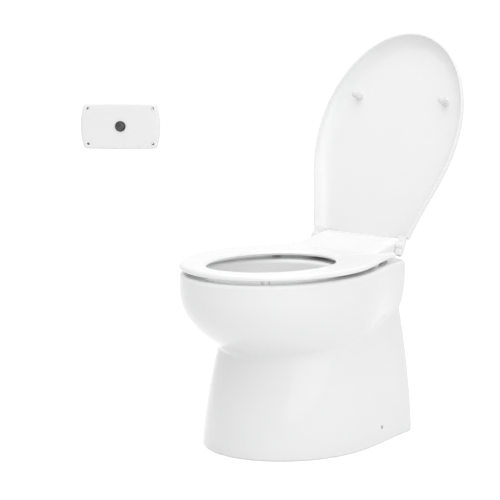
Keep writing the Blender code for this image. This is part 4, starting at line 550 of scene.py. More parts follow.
def carve(piece, shape, operation="DIFFERENCE"):
    """Cut a bmesh out of a piece, or join it on, and keep the result as the piece's own mesh."""
    mesh = bpy.data.meshes.new("tool")
    bmesh.ops.recalc_face_normals(shape, faces=shape.faces)
    shape.to_mesh(mesh)
    shape.free()
    tool = bpy.data.objects.new("tool", mesh)
    bpy.context.scene.collection.objects.link(tool)
    modifier = piece.modifiers.new("carve", "BOOLEAN")
    modifier.operation = operation
    modifier.solver = "EXACT"
    modifier.object = tool
    bpy.context.view_layer.update()
    graph = bpy.context.evaluated_depsgraph_get()
    result = bpy.data.meshes.new_from_object(piece.evaluated_get(graph))
    piece.modifiers.remove(modifier)
    result.name = piece.name
    piece.data = result
    bpy.data.objects.remove(tool)


def rod(start, end, radius, end_radius=None, sides=48):
    """A bmesh cylinder or cone between two points."""
    start, end = Vector(start), Vector(end)
    axis = end - start
    turn = axis.to_track_quat("Z", "Y").to_matrix().to_4x4()
    half_step = Matrix.Rotation(math.pi / sides, 4, "Z")
    shape = bmesh.new()
    bmesh.ops.create_cone(
        shape,
        cap_ends=True,
        segments=sides,
        radius1=radius,
        radius2=radius if end_radius is None else end_radius,
        depth=axis.length,
        matrix=Matrix.Translation((start + end) / 2) @ turn @ half_step,
    )
    return shape


# %% [markdown]
# ## The casting
#
# Bowl, pedestal and foot are one casting. Outside, the pedestal narrows upwards from the floor to a
# waist that slopes up towards the back, and the bowl swells out above it, so that the two meet in a
# soft crease. Over the rim the skin turns down into the bowl, whose oval rings close in on the outlet
# near the back. The inside of the walls follows at an even thickness, as slip-cast china does.

# %% Sizes of the casting
low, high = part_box("ceramic_pedestal")
RIM_HEIGHT = high.z
BACK = high.y
CASTING_CORNER = 0.014
RIM = Outline(
    half_width=high.x,
    front=low.y,
    widest=mix(low.y, BACK, 0.48),
    back=BACK,
    heel=0.118,
    corner=CASTING_CORNER,
)
WAIST_LENGTH = 0.360
WAIST = Outline(
    half_width=0.150,
    front=BACK - WAIST_LENGTH,
    widest=BACK - WAIST_LENGTH * 0.60,
    back=BACK,
    heel=0.104,
    corner=CASTING_CORNER,
)
FOOT_LENGTH = 0.410
FOOT = Outline(
    half_width=0.166,
    front=BACK - FOOT_LENGTH,
    widest=BACK - FOOT_LENGTH * 0.53,
    back=BACK,
    heel=0.138,
    corner=CASTING_CORNER,
)
WAIST_FRONT_HEIGHT = 0.190
WAIST_BACK_HEIGHT = 0.250
BULGE_TOP_HEIGHT = 0.318
FLARE_POWER = 1.6
BULGE_POWER = 2.1
CREASE_SHARE = 0.05
RIM_ROUNDING = 0.008
FOOT_ROUNDING = 0.003
FOOT_LIP = 0.018
FOOT_LIP_HEIGHT = 0.012
WALL = 0.011
DECK = 0.014
MOUTH_BACK = BACK - 0.152
MOUTH = Oval(half_width=0.130, front=MOUTH_BACK - 0.280, back=MOUTH_BACK)
OUTLET_Y = MOUTH_BACK - 0.045
OUTLET_RADIUS = 0.030
OUTLET = Oval(OUTLET_RADIUS, OUTLET_Y - OUTLET_RADIUS, OUTLET_Y + OUTLET_RADIUS)
OUTLET_HEIGHT = 0.136
SPIGOT_BOTTOM = 0.118
BOWL_WALL = 0.009
BOWL_DEPTHS = (0.037, 0.14, 0.30, 0.48, 0.66, 0.82, 0.94, 1.0)
BOWL_SIZES = (1.0, 0.98, 0.92, 0.78, 0.56, 0.32, 0.10, 0.0)
print("rim", round(RIM_HEIGHT, 4), "high and", round(BACK - RIM.front, 4), "long")


def smooth_through(knots, values, share):
    """A smooth curve through a few knots, for the bowl's section."""
    last = len(knots) - 2
    span = min(max(sum(1 for knot in knots if knot <= share) - 1, 0), last)
    length = knots[span + 1] - knots[span]

    def slope(index):
        before, after = max(index - 1, 0), min(index + 1, len(knots) - 1)
        return (values[after] - values[before]) / (knots[after] - knots[before])

    t = (share - knots[span]) / length
    start, end = values[span], values[span + 1]
    lift = slope(span) * length
    fall = slope(span + 1) * length
    eased = t * t * (3 - 2 * t)
    return mix(start, end, eased) + lift * t * (1 - t) ** 2 - fall * t * t * (1 - t)


# %% [markdown]
# Rings can be mixed point by point. That is how the crease gets its soft inner radius: a curve runs
# from a ring just below the waist to one just above it, and the waist itself only pulls on it.


# %% Rings of the outer wall
def pedestal_ring(share, width=0.0):
    outline = shrink(mix_all(FOOT, WAIST, share**FLARE_POWER), width)
    return ring(outline, share * WAIST_FRONT_HEIGHT, share * WAIST_BACK_HEIGHT)


def bulge_ring(share, width=0.0):
    outline = shrink(mix_all(RIM, WAIST, share**BULGE_POWER), width)
    front = mix(BULGE_TOP_HEIGHT, WAIST_FRONT_HEIGHT, share)
    return ring(outline, front, mix(BULGE_TOP_HEIGHT, WAIST_BACK_HEIGHT, share))


def pulled(first, middle, last, share):
    """A ring on the curve from the first ring to the last that the middle one pulls on."""
    rest = 1 - share
    weights = (rest * rest, 2 * rest * share, share * share)
    return [a * weights[0] + b * weights[1] + c * weights[2] for a, b, c in zip(first, middle, last)]


def wall_rings(width):
    """The wall from just above the floor to below the rim, set in by a width."""
    lower, turn, upper = 22, 8, 18
    below = 1 - CREASE_SHARE
    rings = [pedestal_ring(mix(0.02, below, step / lower), width) for step in range(lower)]
    start, end = pedestal_ring(below, width), bulge_ring(below, width)
    crease = pedestal_ring(1.0, width)
    rings += [pulled(start, crease, end, step / turn) for step in range(turn + 1)]
    shares = [mix(below, 0.0, (step / upper) ** 0.8) for step in range(1, upper + 1)]
    return rings + [bulge_ring(share, width) for share in shares]


def edge_turn(shape_at, height, radius, first_degrees, last_degrees, steps):
    """Rings round a quarter edge: shape_at(width) is the outline set in or out by a width."""
    rings = []
    for step in range(steps + 1):
        angle = math.radians(mix(first_degrees, last_degrees, step / steps))
        width = radius * (1 - math.cos(angle))
        rings.append(ring(shape_at(width), height - radius + radius * math.sin(angle)))
    return rings


# %% Build the casting
def casting_rings():
    rings = []
    for step in range(5):
        angle = math.radians(mix(-90.0, 0.0, step / 4))
        width = FOOT_ROUNDING * (1 - math.cos(angle))
        rings.append(ring(shrink(FOOT, width), FOOT_ROUNDING * (1 + math.sin(angle))))
    rings += wall_rings(0.0)
    rings += edge_turn(lambda width: shrink(RIM, width), RIM_HEIGHT, RIM_ROUNDING, 0.0, 90.0, 8)
    rings += edge_turn(lambda width: grow(MOUTH, width), RIM_HEIGHT, RIM_ROUNDING, 90.0, 4.0, 8)
    depth = RIM_HEIGHT - OUTLET_HEIGHT
    steps = 34
    shares = [mix(BOWL_DEPTHS[0], 1.0, step / steps) for step in range(steps + 1)]
    sizes = [max(0.0, smooth_through(BOWL_DEPTHS, BOWL_SIZES, share)) for share in shares]
    for share, size in zip(shares, sizes):
        rings.append(ring(mix_all(OUTLET, MOUTH, size), RIM_HEIGHT - depth * share))
    rings.append(ring(OUTLET, SPIGOT_BOTTOM))
    rings.append(ring(grow(OUTLET, BOWL_WALL), SPIGOT_BOTTOM))
    for share, size in list(zip(shares, sizes))[:3:-3]:
        under = grow(mix_all(OUTLET, MOUTH, size), BOWL_WALL)
        rings.append(ring(under, RIM_HEIGHT - depth * share - BOWL_WALL * (1 - size)))
    rings.append(ring(grow(MOUTH, BOWL_WALL), RIM_HEIGHT - DECK))
    rings.append(ring(shrink(RIM, WALL), RIM_HEIGHT - DECK))
    rings += list(reversed(wall_rings(WALL)))[::2]
    rings.append(ring(shrink(FOOT, WALL), FOOT_LIP_HEIGHT))
    rings.append(ring(shrink(FOOT, FOOT_LIP), 0.0))
    return rings


CASTING_SMOOTH = 50.0
casting = keep_piece(
    "casting",
    bridged(casting_rings(), looped=True),
    glaze,
    "toilet",
    ["ceramic_pedestal", "ceramic_basin"],
    CASTING_SMOOTH,
)

# %% [markdown]
# The holes are drilled afterwards: an arched opening in the back wall for hoses, a screw hole low on
# each side, two holes for the hinges and one for the spray nozzle. An exact boolean cuts them, because
# rings that ran round every hole would disturb the smooth skin.

# %% Holes in the casting
ACCESS_HALF_WIDTH = 0.075
ACCESS_SILL = 0.034
ACCESS_SPRING = 0.105
ARCH_STEPS = 41
OVERRUN = 0.006


def arched_block():
    """A bmesh block with a half-round top, through the back wall."""
    outline = [Vector((x, 0, ACCESS_SILL)) for x in (-ACCESS_HALF_WIDTH, ACCESS_HALF_WIDTH)]
    for step in range(ARCH_STEPS + 1):
        angle = math.pi * step / ARCH_STEPS
        offset = Vector((math.cos(angle), 0, math.sin(angle))) * ACCESS_HALF_WIDTH
        outline.append(Vector((0, 0, ACCESS_SPRING)) + offset)
    near = Vector((0, BACK - WALL - OVERRUN, 0))
    far = Vector((0, BACK + OVERRUN, 0))
    return bridged([[point + near for point in outline], [point + far for point in outline]])


SIDE_HOLE = Vector((0.0, -0.115, 0.032))
SIDE_REACH = Vector((0.20, 0, 0))
SIDE_HOLE_RADIUS = 0.004
HINGE_HOLE_RADIUS = 0.0055
NOZZLE_HOLE_RADIUS = 0.0068
NOZZLE_REACH = Vector((0, 0.020, 0))
HOLE_SIDES = 32
carve(casting, arched_block())
carve(casting, rod(SIDE_HOLE - SIDE_REACH, SIDE_HOLE + SIDE_REACH, SIDE_HOLE_RADIUS, sides=HOLE_SIDES))
for side in ("left", "right"):
    low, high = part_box(f"hinge_washer_{side}")
    middle = (low + high) / 2
    drop = Vector((0, 0, DECK + OVERRUN))
    carve(casting, rod(middle - drop, middle, HINGE_HOLE_RADIUS, sides=HOLE_SIDES))
low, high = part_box("rinse_nozzle_nut")
middle = (low + high) / 2
carve(casting, rod(middle - NOZZLE_REACH, middle, NOZZLE_HOLE_RADIUS, sides=HOLE_SIDES))
smooth_up_to(casting.data, CASTING_SMOOTH)
print("casting after drilling:", len(casting.data.polygons), "faces")

# %% [markdown]
# ## The seat
#
# The seat is a flat ring, domed towards both edges, with a heel that ramps up to a barrel on the
# hinge axis. Ring and heel are moulded in one, so the heel is made as a bar with rounded edges and
# joined on. Pockets under it leave room for the hinge posts.

# %% Sizes of the seat and its hinge
low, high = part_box("hinge_pin_left")
AXIS_HEIGHT = (low.z + high.z) / 2
SEAT_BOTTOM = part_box("seat")[0].z
SEAT_THICKNESS = 0.011
SEAT_TOP = SEAT_BOTTOM + SEAT_THICKNESS
SEAT = Outline(half_width=0.180, front=-0.460, widest=-0.2459, back=-0.023, heel=0.121, corner=0.010)
SEAT_EDGE = 0.008
SEAT_OPENING = Oval(half_width=0.113, front=-0.412, back=-0.128)
OPENING_SLOPE = 0.016
OPENING_DROP = 0.62
BARREL_RADIUS = 0.0135
BARREL_HALF_LENGTH = 0.101
HEEL_RAMP = 0.092
HEEL_BOTTOM = SEAT_BOTTOM + 0.001
HEEL_START = SEAT_TOP - 0.0012
HEEL_BACK = -0.0115
HEEL_ROUNDING = 0.010
HEEL_SHOULDER = 0.024
low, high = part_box("hinge_post_left")
POST_X = (low.x + high.x) / 2
print("hinge axis", round(AXIS_HEIGHT, 4), "high, posts", round(2 * POST_X, 4), "apart")


# %% Build the seat
def seat_rings():
    """Round the seat's outer edge, over its top, down the slope and under the opening's edge."""
    rings = [ring(shrink(SEAT, SEAT_EDGE * 0.35), SEAT_BOTTOM)]
    rings.append(ring(shrink(SEAT, SEAT_EDGE * 0.12), SEAT_BOTTOM + 0.0012))
    rings += edge_turn(lambda width: shrink(SEAT, width), SEAT_TOP, SEAT_EDGE, 0.0, 90.0, 9)
    steps = 12
    for step in range(steps + 1):
        share = step / steps
        drop = SEAT_THICKNESS * OPENING_DROP * share**2.4
        rings.append(ring(grow(SEAT_OPENING, OPENING_SLOPE * (1 - share)), SEAT_TOP - drop))
    for width, height in ((0.0003, 0.0030), (0.0014, 0.0012), (0.0032, 0.0)):
        rings.append(ring(grow(SEAT_OPENING, width), SEAT_BOTTOM + height))
    return rings


def heel_section(width):
    """The heel in the YZ plane, drawn in by a width: a ramp up to a barrel on the hinge axis."""
    ramp, turn = 28, 24
    front = -HEEL_RAMP + width
    crown = BARREL_RADIUS - width
    points = [(front, HEEL_BOTTOM)]
    for step in range(ramp):
        share = step / ramp
        eased = share * share * (3 - 2 * share)
        points.append((front * (1 - share), mix(HEEL_START, AXIS_HEIGHT + crown, eased)))
    for step in range(turn + 1):
        angle = math.radians(mix(90.0, -60.0, step / turn))
        points.append((crown * math.cos(angle), AXIS_HEIGHT + crown * math.sin(angle)))
    points.append((HEEL_BACK, HEEL_BOTTOM))
    return points


def drawn_ends(section, half_length, shoulder, rounding, steps=11):
    """Sections along X whose ends are rounded: each is `section(width)`, drawn in by a width."""
    ends = []
    for step in range(steps):
        angle = math.pi / 2 * step / (steps - 1)
        x = half_length - shoulder * (1 - math.sin(angle))
        ends.append((x, rounding * (1 - math.cos(angle))))
    both = [(-x, width) for x, width in reversed(ends)] + ends
    return [[Vector((x, y, z)) for y, z in section(width)] for x, width in both]


def bar(points, start, end):
    """A section in the YZ plane drawn out along X."""
    return bridged([[Vector((x, y, z)) for y, z in points] for x in (start, end)])


# %% Pockets for the hinge posts
POCKET_FRONT = -0.038
POCKET_BACK = 0.0175
POCKET_KNUCKLE = 0.0105
POCKET_HALF_WIDTH = 0.0125
PIN_HOLE_START = 0.0565
PIN_HOLE_DEPTH = 0.050
PIN_HOLE_RADIUS = 0.0043


def pocket_section():
    """The room for a hinge post in the YZ plane: open below and round over the knuckle."""
    points = [(POCKET_FRONT, RIM_HEIGHT - OVERRUN), (POCKET_FRONT, SEAT_BOTTOM + 0.002)]
    for step in range(13):
        angle = math.radians(mix(150.0, 75.0, step / 12))
        height = AXIS_HEIGHT + POCKET_KNUCKLE * math.sin(angle)
        points.append((POCKET_KNUCKLE * math.cos(angle), height))
    points.append((POCKET_BACK, AXIS_HEIGHT + POCKET_KNUCKLE * 0.96))
    points.append((POCKET_BACK, RIM_HEIGHT - OVERRUN))
    return points


# %% Join the ring and the heel
seat = keep_piece(
    "seat_moulding",
    bridged(seat_rings(), looped=True),
    seat_plastic,
    "seat",
    ["seat", "seat_heel"],
)
heel = drawn_ends(heel_section, BARREL_HALF_LENGTH, HEEL_SHOULDER, HEEL_ROUNDING)
carve(seat, bridged(heel), "UNION")
for sign in (1, -1):
    middle = sign * POST_X
    carve(seat, bar(pocket_section(), middle - POCKET_HALF_WIDTH, middle + POCKET_HALF_WIDTH))
    start = Vector((sign * PIN_HOLE_START, 0, AXIS_HEIGHT))
    end = start + Vector((sign * PIN_HOLE_DEPTH, 0, 0))
    carve(seat, rod(start, end, PIN_HOLE_RADIUS, sides=HOLE_SIDES))
smooth_up_to(seat.data, 32.0)
print("seat:", len(seat.data.polygons), "faces")

# %% [markdown]
# ## The lid
#
# The lid is a thin tray. It is easiest to draw it closed and lying flat about the hinge axis, then
# turn it open. Only its outer skin is drawn: its wall meets its top in a wide curve, which is a
# quarter circle flattened sideways. `bisect_plane` ends it ahead of the hinge, a Solidify modifier
# gives it an even wall, as a moulding has, and a Bevel modifier rounds the wall's edge.

# %% Sizes of the lid
LID_OPEN = -math.radians(113.5)
LID_TAIL = 0.020
LID = Outline(
    half_width=0.180, front=-0.452, widest=-0.237, back=LID_TAIL, heel=0.118, corner=0.012
)
LID_SIDE_ROUND = 0.036
LID_FRONT_ROUND = 0.030
LID_HEEL_ROUND = 0.016
LID_CROWN = 0.0014
LID_END = -0.0187
LID_SKIN = 0.0038
LID_RIM = SEAT_TOP + 0.002 - AXIS_HEIGHT
OPENED = Matrix.Translation((0, 0, AXIS_HEIGHT)) @ Matrix.Rotation(LID_OPEN, 4, "X")
print("lid", round(LID_END - LID.front, 4), "long, opened by", round(math.degrees(-LID_OPEN), 1))


def lid_height(share):
    """The outer face's height on the quarter ellipse from the rim, share 0, to the top, share 1."""
    return mix(LID_RIM, LID_TAIL, math.sqrt(1 - (1 - share) ** 2))


def lid_skin():
    """Rings of the lid's outer face, from its rim to its crown."""
    side, top = 18, 12
    rings = []
    for step in range(side + 1):
        share = (step / side) ** 1.7
        outline = Outline(
            LID.half_width - LID_SIDE_ROUND * share,
            LID.front + LID_FRONT_ROUND * share,
            LID.widest,
            LID.back - LID_TAIL * share,
            LID.heel - LID_HEEL_ROUND * share,
            LID.corner,
        )
        rings.append(ring(outline, lid_height(share)))
    middle = Outline(0, LID.widest, LID.widest, LID.widest, 0, 0)
    for step in range(1, top):
        share = step / top
        rings.append(ring(mix_all(outline, middle, share), LID_TAIL + LID_CROWN * share))
    return rings


# %% Build the lid
skin = bridged(lid_skin(), capped=False)
crown = [edge for edge in skin.edges if edge.is_boundary and edge.verts[0].co.z > LID_TAIL]
bmesh.ops.contextual_create(skin, geom=crown)
everything = skin.verts[:] + skin.edges[:] + skin.faces[:]
bmesh.ops.bisect_plane(
    skin, geom=everything, plane_co=(0, LID_END, 0), plane_no=(0, 1, 0), clear_outer=True
)
bmesh.ops.recalc_face_normals(skin, faces=skin.faces)
if sum(face.normal.z for face in skin.faces) < 0:
    bmesh.ops.reverse_faces(skin, faces=skin.faces)
shifted(skin, OPENED)
lid = keep_piece("lid_moulding", skin, lid_plastic, "lid", ["lid"], 50.0)
wall = lid.modifiers.new("wall", "SOLIDIFY")
wall.thickness = LID_SKIN
wall.offset = -1.0
wall.use_even_offset = True
rounding = lid.modifiers.new("rounding", "BEVEL")
rounding.width = 0.0013
rounding.segments = 4
rounding.limit_method = "ANGLE"
rounding.angle_limit = math.radians(50.0)


# %% [markdown]
# ## The lid's arms and knobs
#
# Two arms carry the lid round the ends of the seat's heel. Each is a short bar whose section has a
# round ear about the hinge pin. The bar is drawn in a row of sections, because its top has to run on
# from the round of the lid's side. The two knobs that rest on the seat are turned: half a section is
# spun round its own axis.


# %% Spinning and softening
def spun(profile, place, steps=96, looped=False):
    """A bmesh spun from (radius, distance) points about an axis that `place` puts in space."""
    shape = bmesh.new()
    verts = [shape.verts.new((radius, 0, distance)) for radius, distance in profile]
    pairs = zip(verts, verts[1:] + (verts[:1] if looped else []))
    edges = [shape.edges.new(pair) for pair in pairs]
    bmesh.ops.spin(
        shape,
        geom=verts + edges,
        cent=(0, 0, 0),
        axis=(0, 0, 1),
        dvec=(0, 0, 0),
        angle=2 * math.pi,
        steps=steps,
        use_merge=True,
        use_duplicate=False,
    )
    bmesh.ops.remove_doubles(shape, verts=shape.verts, dist=1e-6)
    bmesh.ops.recalc_face_normals(shape, faces=shape.faces)
    return shifted(shape, place)


def soften(shape, width, degrees=50.0, segments=4):
    """Round every edge of a bmesh that is sharper than an angle."""
    limit = math.radians(degrees)
    sharp = [edge for edge in shape.edges if edge.is_manifold and edge.calc_face_angle() > limit]
    bmesh.ops.bevel(
        shape,
        geom=sharp,
        offset=width,
        offset_type="OFFSET",
        affect="EDGES",
        segments=segments,
        profile=0.5,
        material=-1,
        clamp_overlap=True,
    )
    return shape


# %% Build the arms
EAR_RADIUS = 0.009
ARM_ROUNDING = 0.005
ARM_EDGE = 0.0012
ARM_LEAST = 0.002
ARM_INNER = BARREL_HALF_LENGTH + 0.001
ARM_OUTER = 0.1195
ARM_FRONT = LID_END - 0.001
ARM_STEPS = 12


def arm_section(x):
    """The arm's section in the YZ plane at x; its top follows the round of the lid's side."""
    top = max(lid_height((ARM_OUTER - x) / LID_SIDE_ROUND), LID_RIM + ARM_LEAST)
    rounding = min(ARM_ROUNDING, top - LID_RIM - 0.0005)
    dip = math.asin(-LID_RIM / EAR_RADIUS)
    points = [(ARM_FRONT, LID_RIM)]
    for step in range(ARM_STEPS + 1):
        angle = mix(math.pi + dip, 2 * math.pi - dip, step / ARM_STEPS)
        points.append((EAR_RADIUS * math.cos(angle), EAR_RADIUS * math.sin(angle)))
    points.append((LID_TAIL, LID_RIM))
    for step in range(ARM_STEPS + 1):
        angle = math.pi / 2 * step / ARM_STEPS
        y = LID_TAIL - rounding * (1 - math.cos(angle))
        points.append((y, top - rounding * (1 - math.sin(angle))))
    points.append((ARM_FRONT, top))
    return points


def arm(sign):
    sections = []
    for step in range(ARM_STEPS + 1):
        x = mix(ARM_OUTER, ARM_INNER, (step / ARM_STEPS) ** 2)
        sections.append([Vector((sign * x, y, z)) for y, z in arm_section(x)])
    return soften(bridged(sections), ARM_EDGE)


for side, sign in (("left", 1), ("right", -1)):
    name = f"lid_arm_{side}"
    shape = shifted(arm(sign), OPENED)
    keep_piece(f"{name}_moulding", shape, lid_plastic, "lid", [name])

# %% Build the knobs
KNOB_X = 0.112
KNOB_AHEAD = 0.312
KNOB_RADIUS = 0.0065
KNOB_FOOT_RADIUS = KNOB_RADIUS * 1.35
KNOB_FOOT_HEIGHT = 0.004
KNOB_STEM_RADIUS = KNOB_RADIUS * 1.08
KNOB_DOME_HEIGHT = 0.006
KNOB_TOP = LID_TAIL - LID_SKIN
KNOB_END = SEAT_TOP + 0.0003 - AXIS_HEIGHT
knob = [(0, KNOB_TOP), (KNOB_FOOT_RADIUS, KNOB_TOP)]
for step in range(1, 7):
    angle = math.pi / 2 * step / 6
    radius = mix(KNOB_FOOT_RADIUS, KNOB_STEM_RADIUS, math.sin(angle))
    knob.append((radius, KNOB_TOP - KNOB_FOOT_HEIGHT * (1 - math.cos(angle))))
for step in range(13):
    angle = math.pi / 2 * step / 12
    height = KNOB_END + KNOB_DOME_HEIGHT * (1 - math.sin(angle))
    knob.append((KNOB_STEM_RADIUS * math.cos(angle), height))
for side, sign in (("left", 1), ("right", -1)):
    name = f"lid_buffer_{side}"
    shape = spun(knob, OPENED @ Matrix.Translation((sign * KNOB_X, -KNOB_AHEAD, 0)), 48)
    keep_piece(f"{name}_knob", shape, buffer_rubber, "lid", [name])


# %% [markdown]
# ## The control panel
#
# The panel is a flat moulding with bowed sides and rolled edges, held by four countersunk screws
# that are not fitted yet. Its outline is drawn once and drawn in step by step towards the face, so
# that the edge rolls over in a quarter circle. A bevelled box would roll evenly too, but its sides
# would be straight.

# %% Sizes of the panel
PANEL_MIDDLE = Matrix.Translation((-0.430, -0.256, 0.603))
PANEL_PLACE = PANEL_MIDDLE @ Matrix.Rotation(math.radians(40.0), 4, "Z")
PANEL_HALF_WIDTH = 0.0825
PANEL_HALF_HEIGHT = 0.048
PANEL_SIDE_BOW = 0.0055
PANEL_TOP_BOW = 0.0013
PANEL_CORNER = 0.007
PANEL_EDGE = 0.0045
PANEL_FACE = -0.0108
PANEL_BACK = -0.0018
FACING = Matrix.Rotation(-math.pi / 2, 4, "X")
print("panel", 2 * PANEL_HALF_WIDTH, "wide and", 2 * PANEL_HALF_HEIGHT, "high")


def panel_ring(width, depth, steps=14):
    """The panel's outline drawn in by a width, at a depth."""
    half_width, half_height = PANEL_HALF_WIDTH - width, PANEL_HALF_HEIGHT - width
    flat_x, flat_z = half_width - PANEL_SIDE_BOW, half_height - PANEL_TOP_BOW
    quarter = []
    for step in range(steps):
        share = step / steps
        x = half_width - PANEL_SIDE_BOW * share**2
        quarter.append((x, (flat_z - PANEL_CORNER) * share))
    for step in range(steps):
        angle = math.pi / 2 * step / steps
        x = flat_x - PANEL_CORNER * (1 - math.cos(angle))
        quarter.append((x, flat_z - PANEL_CORNER + PANEL_CORNER * math.sin(angle)))
    for step in range(steps):
        share = 1 - step / steps
        quarter.append(((flat_x - PANEL_CORNER) * share, half_height - PANEL_TOP_BOW * share**2))
    left = [(-x, z) for x, z in reversed(quarter[1:])]
    top = quarter + [(0, half_height)] + left
    return [Vector((x, depth, z)) for x, z in top + [(-x, -z) for x, z in top]]


# %% Build the plate
def plate_rings():
    rings = []
    for step in range(11):
        angle = math.pi / 2 * (1 - step / 10)
        width = PANEL_EDGE * (1 - math.cos(angle))
        rings.append(panel_ring(width, PANEL_FACE + PANEL_EDGE * (1 - math.sin(angle))))
    return rings + [panel_ring(0, PANEL_BACK)]


plate = keep_piece(
    "plate", bridged(plate_rings()), panel_plastic, "toilet", ["panel_plate"]
)
HOLLOW_SIZE = Matrix.Diagonal((0.112, 0.010, 0.076, 1.0))
HOLLOW_MIDDLE = Matrix.Translation((0, -0.0028, 0))
hollow = bmesh.new()
bmesh.ops.create_cube(hollow, size=1.0, matrix=HOLLOW_MIDDLE @ HOLLOW_SIZE)
carve(plate, hollow)
CUT_BACK = 0.013
CUT_FRONT = -0.004
SINK_RADIUS = 0.0024
SINK_DEPTH = 0.0028
SINK_MOUTH = 0.00546
SINK_X = 0.067
SINK_Z = 0.0366
BORE_RADIUS = 0.0103
sink = [(0, CUT_BACK), (SINK_RADIUS, CUT_BACK), (SINK_RADIUS, SINK_DEPTH)]
sink += [(SINK_MOUTH, CUT_FRONT), (0, CUT_FRONT)]
for x in (-SINK_X, SINK_X):
    for z in (-SINK_Z, SINK_Z):
        carve(plate, spun(sink, Matrix.Translation((x, PANEL_FACE, z)) @ FACING, 40))
bore = [(0, CUT_BACK), (BORE_RADIUS, CUT_BACK), (BORE_RADIUS, CUT_FRONT), (0, CUT_FRONT)]
carve(plate, spun(bore, Matrix.Translation((0, PANEL_FACE, 0)) @ FACING, 72))
plate.data.transform(PANEL_PLACE)
smooth_up_to(plate.data, 35.0)
print("plate:", len(plate.data.polygons), "faces")

# %% [markdown]
# ## The push button
#
# The button is a glossy black dome in a narrow black bezel. Both are turned shapes, so each is one
# spun section. The dome's section is a quarter ellipse, whose slope changes evenly, so that the room
# it mirrors shows as soft spots without an edge.

# %% Build the bezel and its barrel
BEZEL_RADIUS = 0.011
BEZEL_BACK = -0.0003
BEZEL_FRONT = -0.0019
BEZEL_EDGE = 0.0008
BEZEL_CHAMFER = 0.0004
STEM_BORE = 0.0091
STEM_RADIUS = 0.010
STEM_END = 0.016
BUTTON_PLACE = PANEL_PLACE @ Matrix.Translation((0, PANEL_FACE, 0)) @ FACING
bezel = [(STEM_BORE, STEM_END), (STEM_RADIUS, STEM_END)]
bezel += [(STEM_RADIUS, BEZEL_BACK), (BEZEL_RADIUS, BEZEL_BACK)]
for step in range(7):
    angle = math.pi / 2 * step / 6
    reach = BEZEL_RADIUS - BEZEL_EDGE * (1 - math.cos(angle))
    bezel.append((reach, BEZEL_FRONT + BEZEL_EDGE * (1 - math.sin(angle))))
bezel.append((STEM_BORE + BEZEL_CHAMFER, BEZEL_FRONT))
bezel.append((STEM_BORE, BEZEL_FRONT + BEZEL_CHAMFER))
keep_piece(
    "bezel",
    spun(bezel, BUTTON_PLACE, 96, looped=True),
    button_gloss,
    "toilet",
    ["button_barrel"],
)

# %% Build the button
BUTTON_RADIUS = 0.0088
BUTTON_INNER = 0.0072
BUTTON_SKIRT = 0.0045
PEG_RADIUS = 0.0025
PEG_END = 0.008
DOME_EDGE = BEZEL_FRONT - 0.0008
DOME_RISE = 0.0030
DOME_UNDER = DOME_EDGE + 0.0016
cap = [(0, PEG_END), (PEG_RADIUS, PEG_END), (PEG_RADIUS, DOME_UNDER), (BUTTON_INNER, DOME_UNDER)]
cap += [(BUTTON_INNER, BUTTON_SKIRT), (BUTTON_RADIUS, BUTTON_SKIRT)]
cap.append((BUTTON_RADIUS, DOME_EDGE + 0.0004))
for step in range(1, 22):
    angle = math.pi / 2 * step / 21
    cap.append((BUTTON_RADIUS * math.cos(angle), DOME_EDGE - DOME_RISE * math.sin(angle)))
keep_piece(
    "button_cap", spun(cap, BUTTON_PLACE, 96), button_gloss, "button", ["push_button"]
)

# %% [markdown]
# ## Springs, threads and screws
#
# A spring is a wire wound along a helix. A Screw modifier could wind it, but here a circle of points
# is carried round the axis and bridged, as the casting's outlines are, which keeps its few faces
# even. The rinse valve's spring is squeezed when its plunger rises, but here it keeps the length it
# is modelled at. The thread on the button's barrel is the same helix with a thinner wire, most of
# which is sunk into the barrel.

# %% Coils
UP = Vector((0, 0, 1))


def coil(radius, wire, start, end, turns, per_turn=28, sides=8):
    """A bmesh tube along a helix about Z, from one height to another."""
    steps = turns * per_turn
    circle = [2 * math.pi * side / sides for side in range(sides)]
    rings = []
    for step in range(steps + 1):
        angle = 2 * math.pi * step / per_turn
        out = Vector((math.cos(angle), math.sin(angle), 0))
        middle = out * radius + UP * mix(start, end, step / steps)
        rings.append([middle + (out * math.cos(a) + UP * math.sin(a)) * wire for a in circle])
    return bridged(rings)


# %% The rinse valve's spring
low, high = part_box("rinse_valve_spring")
middle = (low + high) / 2
SPRING_WIRE = 0.0004
SPRING_TURNS = 5
radius = (high.x - low.x) / 2 - SPRING_WIRE
helix = coil(radius, SPRING_WIRE, low.z + SPRING_WIRE, high.z - SPRING_WIRE, SPRING_TURNS)
spring = keep_piece(
    "valve_spring",
    shifted(helix, Matrix.Translation((middle.x, middle.y, 0))),
    steel,
    "toilet",
    ["rinse_valve_spring"],
)
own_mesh(spring)

# %% The thread of the button's barrel
THREAD_WIRE = 0.00025
THREAD_RADIUS = 0.0099
THREAD_START = 0.0084
THREAD_END = 0.0154
THREAD_TURNS = 7
thread = coil(THREAD_RADIUS, THREAD_WIRE, THREAD_START, THREAD_END, THREAD_TURNS)
thread = shifted(thread, BUTTON_PLACE)
keep_piece("barrel_thread", thread, black_plastic, "toilet", [])

# %% [markdown]
# The screws hold the valve's bracket, the outlet clamp and the pump's base. A screw head is turned,
# so it is a spun dome, and a box cuts the slot across it.

# %% Screw heads
SCREW_SUNK = 0.0004
SCREW_SIDE_SHARE = 0.35
SLOT_LENGTH_SHARE = 2.4
SLOT_WIDTH_SHARE = 0.28


